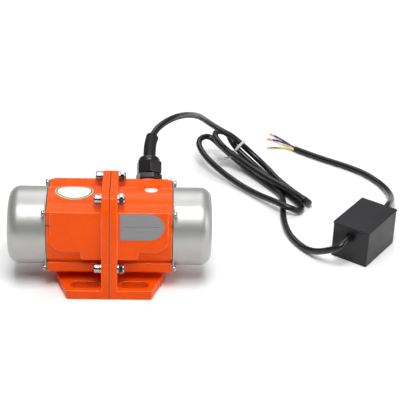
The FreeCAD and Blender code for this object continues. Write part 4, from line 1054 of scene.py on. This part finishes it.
@dataclass
class LeadFittings:
    """Tapered sleeve in the gland and the tie round two strands of the lead."""

    sleeve_start: float = 0.0085
    sleeve_inside: float = 0.004
    sleeve_length: float = 0.0326
    sleeve_base_radius: float = 0.0066
    sleeve_tip_radius: float = 0.0064
    sleeve_steps: int = 26
    lip: float = 0.0002
    tie_centres: tuple[Point, Point] = ((0.1478, 0.2378, 0.0272), (0.1430, 0.2331, 0.0228))
    tie_direction: Point = (0.7, -0.4, -0.5)
    tie_width: float = 0.0030
    tie_thickness: float = 0.0011
    tie_gap: float = 0.0006
    tie_round: float = 0.0003
    head_size: float = 0.0050
    head_shares: Point = (1.0, 0.86, 0.8)
    head_sink: float = 0.0008
    head_round: float = 0.0006
    tail_route: tuple[Point, ...] = ((0.1375, 0.2278, 0.0170), (0.1325, 0.2263, 0.0145),
                                     (0.1260, 0.2265, 0.0125), (0.1190, 0.2290, 0.0115))
    tail_width: float = 0.0025
    tail_thickness: float = 0.0010
    tail_teeth: int = 44
    tooth: float = 0.75
    point: float = 0.9

    def build(self, leads: LeadSet) -> None:
        """Build the sleeve and the tie on the motor lead's own line.

        Args:
            leads: The leads, already laid.
        """
        self.line = leads.motor_lead.line()
        self.sleeve = self.tapered_sleeve()
        self.tie = self.cable_tie()

    def tapered_sleeve(self) -> Piece:
        """Build the soft sleeve, which starts in the gland's mouth and ends in a lip.

        Returns:
            The sleeve.
        """
        steps, bore = self.sleeve_steps, LEAD_DIAMETER / 2 + 0.0002
        line = part_of(self.line, self.sleeve_start - self.sleeve_inside,
                       self.sleeve_start + self.sleeve_length, steps)
        taper = self.sleeve_tip_radius - self.sleeve_base_radius
        radii = [self.sleeve_base_radius + i / steps * taper for i in range(steps + 1)]
        radii[-2] += self.lip
        ahead = (line[-1] - line[-2]).normalized()
        behind = (line[1] - line[0]).normalized()
        line = [line[0] - 0.0002 * behind, *line, line[-1] + 0.0003 * ahead,
                line[-1] + 0.0004 * ahead]
        bm = bmesh.new()
        sweep(bm, line, [bore, *radii, self.sleeve_tip_radius - 0.0003, bore], 32)
        return finished("cable_sleeve_tapered", bm, Finish.SLEEVE_RUBBER, "cable_sleeve", 60)

    def crossings(self) -> list[Vector]:
        """Centres of the two strands where the tie goes round them.

        Returns:
            One point on each strand.
        """
        first, second = (Vector(c) for c in self.tie_centres)
        middle, ahead = (first + second) / 2, Vector(self.tie_direction).normalized()
        met = []
        for a, b in zip(self.line, self.line[1:]):
            da, db = (a - middle).dot(ahead), (b - middle).dot(ahead)
            if da * db <= 0 and da != db:
                met.append(a.lerp(b, da / (da - db)))
        return [min(met, key=lambda p: (p - wanted).length) for wanted in (first, second)]

    def cable_tie(self) -> Piece:
        """Build the tie's band, its locking head and its free tail.

        Returns:
            The tie.
        """
        bm = bmesh.new()
        first, second = self.crossings()
        ahead = Vector(self.tie_direction).normalized()
        across = second - first
        across -= ahead * across.dot(ahead)
        out = across.normalized()
        side = ahead.cross(out)
        inner = LEAD_DIAMETER / 2 + self.tie_gap
        outer = inner + self.tie_thickness
        half, turn_in = self.tie_width / 2, self.tie_round
        made = lathe(bm, [(inner, -half + turn_in), (inner, half - turn_in),
                          (inner + turn_in, half), (outer - turn_in, half),
                          (outer, half - turn_in), (outer, -half + turn_in),
                          (outer - turn_in, -half), (inner + turn_in, -half),
                          (inner, -half + turn_in)])
        bmesh.ops.translate(bm, vec=(across.length, 0, 0),
                            verts=[v for v in made if v.co.x > 1e-6])
        bmesh.ops.transform(bm, matrix=framed(out, side, ahead, first), verts=made)
        up = inner + self.tie_thickness / 2 + self.head_size / 2 - self.head_sink
        box = bmesh.ops.create_cube(bm, size=1.0)["verts"]
        edges = list({e for v in box for e in v.link_edges})
        size = Matrix.Diagonal((*(self.head_size * share for share in self.head_shares), 1))
        bmesh.ops.transform(bm, matrix=framed(side, ahead, out, second + out * up) @ size,
                            verts=box)
        bmesh.ops.bevel(bm, geom=edges, offset=self.head_round, segments=3, profile=0.5,
                        affect="EDGES", clamp_overlap=True, material=-1)
        self.tail(bm, second + out * outer)
        return finished("cable_tie_strap", bm, Finish.TIE_NYLON, "cable_tie")

    def tail(self, bm: Mesh, start: Vector) -> None:
        """Add the toothed free end of the strap.

        Args:
            bm: Mesh that takes it.
            start: Where it leaves the head.
        """
        line = points_on(smooth_curve("tail_reader", [start, *self.tail_route], 12))
        places = []
        for i, place in enumerate(stations(part_of(line, 0.0, length_of(line),
                                                   self.tail_teeth))):
            share = i / self.tail_teeth
            width = self.tail_width * (1 - 4 * max(share - self.point, 0.0))
            thick = self.tail_thickness * (self.tooth if i % 2 else 1.0)
            places.append(place @ Matrix.Diagonal((width, thick, 1, 1)))
        ring = bmesh.ops.create_circle(bm, cap_ends=True, segments=4, radius=0.5 ** 0.5,
                                       matrix=Matrix.Rotation(math.pi / 4, 4, "Z"))["verts"]
        bmesh.ops.transform(bm, matrix=places[0], verts=ring)
        draw_through(bm, ring, places)


# ------------------------------------------------------------------ motor
@dataclass
class HousingCastings:
    """The two painted castings, which the seam bolts pull together."""

    crisp: float = 28.0

    def build(self) -> None:
        """Build both castings and dress what is clamped between them."""
        for side in Side:
            node = f"housing_{side.word}"
            finished(node + "_dressed", merged_copy(node), Finish.ORANGE_PAINT, node, self.crisp)
        dress(Finish.ELECTRICAL_STEEL, "stator_core")
        dress(Finish.WINDING_COPPER, "stator_windings")


class Rotor:
    """Shaft, cage rotor, bearings and the weights at both ends."""

    def build(self) -> None:
        """Dress everything that turns, and the bearings that carry it."""
        dress(Finish.SHAFT_STEEL, "shaft", "bearing_wave_washer", "shaft_keys",
              "shaft_end_washers", "shaft_circlips")
        dress(Finish.ELECTRICAL_STEEL, "rotor_core")
        dress(Finish.CAST_ALUMINIUM, "rotor_cage")
        for finish, parts in (
                (Finish.BEARING_STEEL, ("bearing_outer_race", "bearing_inner_race",
                                        "bearing_balls")),
                (Finish.CAGE_BRASS, ("bearing_cage",)),
                (Finish.SHAFT_STEEL, ("bearing_spacer",)),
                (Finish.WEIGHT_STEEL, ("fixed_weight", "adjustable_weight")),
                (Finish.STAINLESS_STEEL, ("weight_clamp_screw",))):
            dress(finish, *(f"{part}_{side.word}" for part in parts for side in Side))


@dataclass
class EndCap:
    """Deep-drawn cap with its flange, gasket and four cross-recess screws."""

    side: Side
    seat: float = 0.0645
    pitch: float = 0.0315
    shank_radius: float = 0.002
    shank_length: float = 0.0078
    head_radius: float = 0.0037
    head_height: float = 0.0028
    recess_length: float = 0.0040
    recess_width: float = 0.0009
    recess_depth: float = 0.0014
    recess_taper: float = 0.55
    edge: float = 0.0004

    def build(self) -> None:
        """Build the cap, its gasket and its screws."""
        softened_node(f"end_cap_{self.side.word}", Finish.CAP_METAL, self.edge)
        softened_node(f"end_cap_gasket_{self.side.word}", Finish.GASKET_RUBBER, 0.0001)
        self.screws()

    def blank(self) -> Piece:
        """One pan-head screw about Z, its seat at the origin, before the recess is cut.

        Returns:
            The blank.
        """
        bm = bmesh.new()
        r, h, shank, length = (self.head_radius, self.head_height, self.shank_radius,
                               self.shank_length)
        lathe(bm, [(0, -length), (shank - 0.0003, -length), (shank, 0.0004 - length),
                   (shank, 0), (r - 0.0002, 0), (r, 0.0002), (r, h * 0.42),
                   (r * 0.96, h * 0.62), (r * 0.82, h * 0.82), (r * 0.55, h * 0.95),
                   (r * 0.25, h), (0, h)], 40)
        return stand("screw_blank", lasting("screw_blank", bm))

    def cutter(self) -> Piece:
        """Cross that is cut out of the screw's head, narrower at its foot.

        Returns:
            The cross.
        """
        bm = bmesh.new()
        for size in ((self.recess_length, self.recess_width),
                     (self.recess_width, self.recess_length)):
            arm = bmesh.ops.create_cube(bm, size=1.0)["verts"]
            bmesh.ops.scale(bm, vec=(self.recess_taper, self.recess_taper, 1),
                            verts=[v for v in arm if v.co.z < 0])
            bmesh.ops.scale(bm, vec=(*size, 2 * self.recess_depth), verts=arm)
            bmesh.ops.translate(bm, vec=(0, 0, self.head_height), verts=arm)
        return stand("recess_cutter", lasting("recess_cutter", bm))

    def screws(self) -> None:
        """Cut one screw and put four of them in place."""
        work, cutter = self.blank(), self.cutter()
        recess = work.modifiers.new("recess", "BOOLEAN")
        recess.operation, recess.object, recess.solver = "DIFFERENCE", cutter, "EXACT"
        recess.use_self = True
        shaped = bpy.data.meshes.new_from_object(
            work.evaluated_get(bpy.context.evaluated_depsgraph_get()))
        for item in (work, cutter):
            bpy.data.objects.remove(item)
        sign = self.side.value
        bm = bmesh.new()
        for i, (y, up) in enumerate(((1, 1), (-1, 1), (-1, -1), (1, -1))):
            before = set(bm.verts)
            bm.from_mesh(shaped)
            at = (sign * self.seat, y * self.pitch, SHAFT_HEIGHT + up * self.pitch)
            bmesh.ops.transform(bm, matrix=along((sign, 0, 0), at, 17 + 31 * i),
                                verts=[v for v in bm.verts if v not in before])
        node = f"end_cap_screws_{self.side.word}"
        finished(node + "_dressed", bm, Finish.STAINLESS_STEEL, node, 40)


@dataclass
class SeamFasteners:
    """Knurled socket-head screws, lock nuts and spring washers along the seam flange."""

    seat: float = 0.0096
    head_radius: float = 0.0050
    head_height: float = 0.0060
    knurls: int = 72
    knurl_depth: float = 0.00012
    knurl_heights: tuple[float, float] = (0.0009, 0.0046)
    socket_flats: float = 0.0050
    socket_depth: float = 0.0030
    shank_radius: float = 0.0030
    reach: float = 0.0155
    nut_flats: float = 0.0100
    nut_height: float = 0.0042
    collar_radius: float = 0.0045
    collar_height: float = 0.0016
    screw_step: float = 37.0
    nut_turns: tuple[float, ...] = (-5.0, -7.0, -9.0, 19.0)
    edge: float = 0.00015

    def build(self) -> None:
        """Build the screws, the nuts and the washers."""
        screws, nuts = bmesh.new(), bmesh.new()
        for i, ((y, z), turn) in enumerate(zip(self.places(), self.nut_turns)):
            self.screw(screws, y, z, self.screw_step * i)
            self.nut(nuts, y, z, turn)
        finished("flange_screws_dressed", screws, Finish.STAINLESS_STEEL, "flange_bolts", 35)
        finished("flange_nuts_dressed", nuts, Finish.STAINLESS_STEEL, "flange_nuts", 35)
        softened_node("flange_spring_washers", Finish.STAINLESS_STEEL, self.edge)

    def places(self) -> Profile:
        """Find the screws' axes in the frame, from the front upwards.

        Returns:
            Y and Z of each axis.
        """
        bm = merged_copy("flange_bolts")
        rest, found = set(bm.verts), []
        while rest:
            piece, fresh = set(), {rest.pop()}
            while fresh:
                piece |= fresh
                fresh = {e.other_vert(v) for v in fresh for e in v.link_edges} - piece
            rest -= piece
            found.append(tuple(round((min(v.co[k] for v in piece)
                                      + max(v.co[k] for v in piece)) / 2, 6) for k in (1, 2)))
        bm.free()
        return sorted(found)

    def screw(self, bm: Mesh, y: float, z: float, turn: float) -> None:
        """Add one screw, its head on the left half.

        Args:
            bm: Mesh that takes it.
            y: Y of its axis.
            z: Z of its axis.
            turn: Turn of its socket, in degrees.
        """
        r, h, shank = self.head_radius, self.head_height, self.shank_radius
        half = self.socket_flats / 2
        corner = half / math.cos(math.pi / 6)
        length, floor = self.seat + self.reach, h - self.socket_depth
        made = lathe(bm, [(0, -length), (shank - 0.0005, -length), (shank, -length + 0.0005),
                          (shank, 0), (r - 0.0003, 0), (r, 0.0003), (r, 0.0010), (r, 0.0045),
                          (r, h - 0.0013), (r - 0.0003, h - 0.0005), (r - 0.0012, h),
                          (corner + 0.0005, h), (corner + 0.0001, h - 0.0003),
                          (corner, h - 0.0004), (corner, floor), (0, floor - 0.0008)],
                     self.knurls)
        low, high = self.knurl_heights
        for vert in made:
            radius = math.hypot(vert.co.x, vert.co.y)
            if low < vert.co.z < high and radius > r - 0.0001:
                around = math.atan2(vert.co.y, vert.co.x) / (2 * math.pi)
                vert.co.xy *= 1 - round(around * self.knurls) % 2 * self.knurl_depth / radius
            elif abs(radius - corner) < 0.00005 and vert.co.z > floor - 0.0001:
                vert.co.xy *= flat_reach(vert, half) / radius
        bmesh.ops.transform(bm, matrix=along((-1, 0, 0), (-self.seat, y, z), turn), verts=made)

    def nut(self, bm: Mesh, y: float, z: float, turn: float) -> None:
        """Add one lock nut with its domed collar, on the right half.

        Args:
            bm: Mesh that takes it.
            y: Y of its axis.
            z: Z of its axis.
            turn: Turn of its front flat above the level, in degrees.
        """
        half, h = self.nut_flats / 2, self.nut_height
        bore, collar = self.shank_radius, self.collar_radius
        corner, top = half / math.cos(math.pi / 6), h + self.collar_height
        made = lathe(bm, [(bore, top - 0.0006), (bore, 0), (half - 0.0004, 0),
                          (corner, 0.0005), (corner, h - 0.0005), (half - 0.0002, h),
                          (collar, h + 0.0001), (collar, h + 0.0006),
                          (collar - 0.0003, top - 0.0003), (collar - 0.0010, top),
                          (bore + 0.0004, top), (bore, top - 0.0006)], 60)
        for vert in made:
            radius = math.hypot(vert.co.x, vert.co.y)
            if radius > half:
                vert.co.xy *= min(radius, flat_reach(vert, half)) / radius
        lean = (Matrix.Translation((0, y, z)) @ Matrix.Rotation(math.radians(-turn), 4, "X")
                @ Matrix.Translation((0, -y, -z)))
        bmesh.ops.transform(bm, matrix=lean @ along((1, 0, 0), (self.seat, y, z)), verts=made)


@dataclass
class PlatesAndLabels:
    """Blank nameplate on the front pad and two plain oval stickers on the barrel."""

    plate_share: float = 0.91
    plate_back: float = 0.0005

    def build(self) -> None:
        """Build the plate and the stickers."""
        bm = merged_copy("nameplate")
        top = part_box("nameplate")[1][2]
        front = min(v.co.y for v in bm.verts if v.co.z > top - 0.0004)
        bmesh.ops.scale(bm, vec=(1, self.plate_share, self.plate_share), verts=bm.verts,
                        space=Matrix.Translation((0, -front - self.plate_back, -top)))
        soften(bm, 0.0001)
        finished("nameplate_dressed", bm, Finish.NAMEPLATE_METAL, "nameplate")
        softened_node("oval_label", Finish.LABEL_PLASTIC, 0.00005)
        softened_node("inspection_label", Finish.SMALL_LABEL, 0.00005)


@dataclass
class CableGland:
    """Nylon gland: sealing ring, hexagon body and domed nut."""

    face: Point = (0.0385, 0.0431, 0.0824)
    axis: Point = (0.0, 0.70711, 0.70711)
    edge: float = 0.0005
    across_flats: float = 0.024
    nut_start: float = 0.0080
    nut_height: float = 0.0130
    dome_height: float = 0.0058
    dome_foot: float = 0.0116
    mouth: float = 0.0068
    lip: float = 0.0012
    turn: float = 38.0

    def build(self) -> list[Piece]:
        """Build the gland.

        Returns:
            Its pieces.
        """
        return [softened_node("gland_seal", Finish.BLACK_RUBBER, 0.0002),
                softened_node("gland_body", Finish.GLAND_NYLON, self.edge), self.nut()]

    def nut(self) -> Piece:
        """Build the nut: hexagon skirt under a bulging dome with a lipped mouth.

        Returns:
            The nut.
        """
        bm = bmesh.new()
        foot, mouth, high = self.dome_foot, self.mouth, self.nut_height
        half, top = self.across_flats / 2, high + self.dome_height
        corner, rim = half / math.cos(math.pi / 6), mouth + self.lip
        leans = [math.radians(4 + 9.2 * i) for i in range(9)]
        verts = lathe(bm, [(mouth, top - 0.0008), (mouth, high), (0.0094, 0.0),
                           (corner - 0.0006, 0.0), (corner, 0.0006), (corner, high - 0.0005),
                           (corner - 0.0005, high), (foot + 0.0002, high + 0.0001),
                           *((rim + (foot - rim) * math.cos(lean),
                              high + self.dome_height * math.sin(lean)) for lean in leans),
                           (mouth + 0.0004, top), (mouth, top - 0.0004),
                           (mouth, top - 0.0008)], 72)
        for vert in verts:
            radius = math.hypot(vert.co.x, vert.co.y)
            if radius > foot + 0.0003 and vert.co.z < high + 0.00005:
                reach = flat_reach(vert, half - (corner - radius))
                vert.co.xy *= min(reach, radius) / radius
        start = Vector(self.face) + self.nut_start * Vector(self.axis)
        bmesh.ops.transform(bm, matrix=along(self.axis, start, self.turn), verts=verts)
        return finished("gland_nut_dressed", bm, Finish.GLAND_NYLON, "gland_nut", 28)


@dataclass
class CapacitorBox:
    """In-line box with its lid, its grommets and the capacitor inside."""

    edge: float = 0.0005

    def build(self) -> list[Piece]:
        """Build the box.

        Returns:
            Its pieces.
        """
        dress(Finish.CAST_ALUMINIUM, "run_capacitor")
        return [softened_node("capacitor_box", Finish.BOX_PLASTIC, self.edge),
                softened_node("capacitor_box_lid", Finish.BOX_PLASTIC, self.edge),
                softened_node("box_grommets", Finish.BLACK_RUBBER, 0.0002),
                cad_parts["run_capacitor"]]


# ------------------------------------------------------------------ studio
@dataclass
class Studio:
    """White seamless floor, bright surround and soft lamps above."""

    floor_reach: float = 6.0
    floor_height: float = -0.0004
    floor_tone: float = 0.93
    middle: Point = (0.10, 0.10, 0.0)
    lift_start: float = 0.22
    lift_end: float = 0.9
    floor_lift: float = 0.55
    surround: tuple[tuple[float, float], ...] = ((0.0, 0.34), (0.35, 0.22), (0.85, 0.35))
    dark_side: float = 0.12

    def build(self) -> None:
        """Build the floor, the surround and the lamps."""
        self.floor()
        self.world()
        self.softbox("key_softbox", (0.06, -0.5, 1.4), (0.06, 0.02, 0.05), 0.8, 19.5)
        self.softbox("rear_softbox", (0.0, 0.9, 1.25), (0.06, 0.05, 0.05), 0.9, 7.5)
        self.softbox("side_softbox", (1.6, -0.5, 0.7), (0.25, 0, 0.03), 0.9, 8.5)

    def floor(self) -> None:
        """Build the floor; far from the motor it is lifted towards white where it is seen."""
        bm = bmesh.new()
        bmesh.ops.create_grid(bm, x_segments=1, y_segments=1, size=self.floor_reach)
        bmesh.ops.translate(bm, vec=(0, 0, self.floor_height), verts=bm.verts)
        floor = stand("studio_floor", lasting("studio_floor", bm))
        sheet = NodeSheet("studio_floor")
        path = sheet.add("LightPath").outputs
        seen = path["Is Camera Ray"]
        for ray in ("Is Glossy Ray", "Is Transmission Ray"):
            seen = sheet.maths("MAXIMUM", seen, path[ray])
        away = sheet.add("VectorMath", {0: sheet.own, 1: self.middle},
                         operation="DISTANCE").outputs["Value"]
        lift = sheet.spread(away, 0.0, self.floor_lift, self.lift_start, self.lift_end)
        sheet.set(Base_Color=(self.floor_tone,) * 3 + (1,), Roughness=0.9,
                  Specular_IOR_Level=0.0, Emission_Color=(1, 1, 1, 1),
                  Emission_Strength=sheet.maths("MULTIPLY", seen, lift))
        floor.data.materials.append(sheet.material)

    def world(self) -> None:
        """Light the surround: pale at the horizon and overhead, dark in front of the motor."""
        world = bpy.data.worlds.new("studio_surround")
        world.use_nodes = True
        nodes, links = world.node_tree.nodes, world.node_tree.links
        where, apart, level, front = (nodes.new("ShaderNode" + kind) for kind in (
            "TexCoord", "SeparateXYZ", "ValToRGB", "MapRange"))
        elements = level.color_ramp.elements
        elements.new(self.surround[1][0])
        for element, (height, value) in zip(elements, self.surround):
            element.position, element.color = height, (value, value, value, 1)
        front.interpolation_type = "SMOOTHSTEP"
        for key, value in (("From Min", -0.75), ("From Max", -0.3),
                           ("To Min", self.dark_side), ("To Max", 1.0)):
            front.inputs[key].default_value = value
        ground = nodes["Background"].inputs
        for start, end in ((where.outputs["Generated"], apart.inputs["Vector"]),
                           (apart.outputs["Z"], level.inputs["Fac"]),
                           (apart.outputs["Y"], front.inputs["Value"]),
                           (level.outputs["Color"], ground["Color"]),
                           (front.outputs["Result"], ground["Strength"])):
            links.new(start, end)
        bpy.context.scene.world = world

    def softbox(self, name: str, place: Point, target: Point, size: float,
                power: float) -> None:
        """Hang a square lamp that points at a target.

        Args:
            name: Name of the lamp.
            place: Where it hangs.
            target: Where it points.
            size: Length of its side.
            power: Its power in watts.
        """
        data = bpy.data.lights.new(name, "AREA")
        data.shape, data.size, data.energy = "SQUARE", size, power
        ahead = Vector(target) - Vector(place)
        turn = ahead.to_track_quat("-Z", "Y").to_matrix().to_4x4()
        stand(name, data).matrix_world = Matrix.Translation(place) @ turn


def main() -> None:
    """Build the camera, the leads, the motor and the studio, in that order."""
    logging.basicConfig(level=logging.INFO, format="%(name)s: %(message)s")
    ProductCamera().build()
    leads = LeadSet()
    leads.lay()
    fittings = LeadFittings()
    fittings.build(leads)
    gland = CableGland().build()
    box = CapacitorBox().build()
    HousingCastings().build()
    Rotor().build()
    for side in Side:
        EndCap(side).build()
    SeamFasteners().build()
    PlatesAndLabels().build()
    Studio().build()
    bpy.context.scene.view_settings.view_transform = "Standard"


if __name__ == "__main__":
    main()
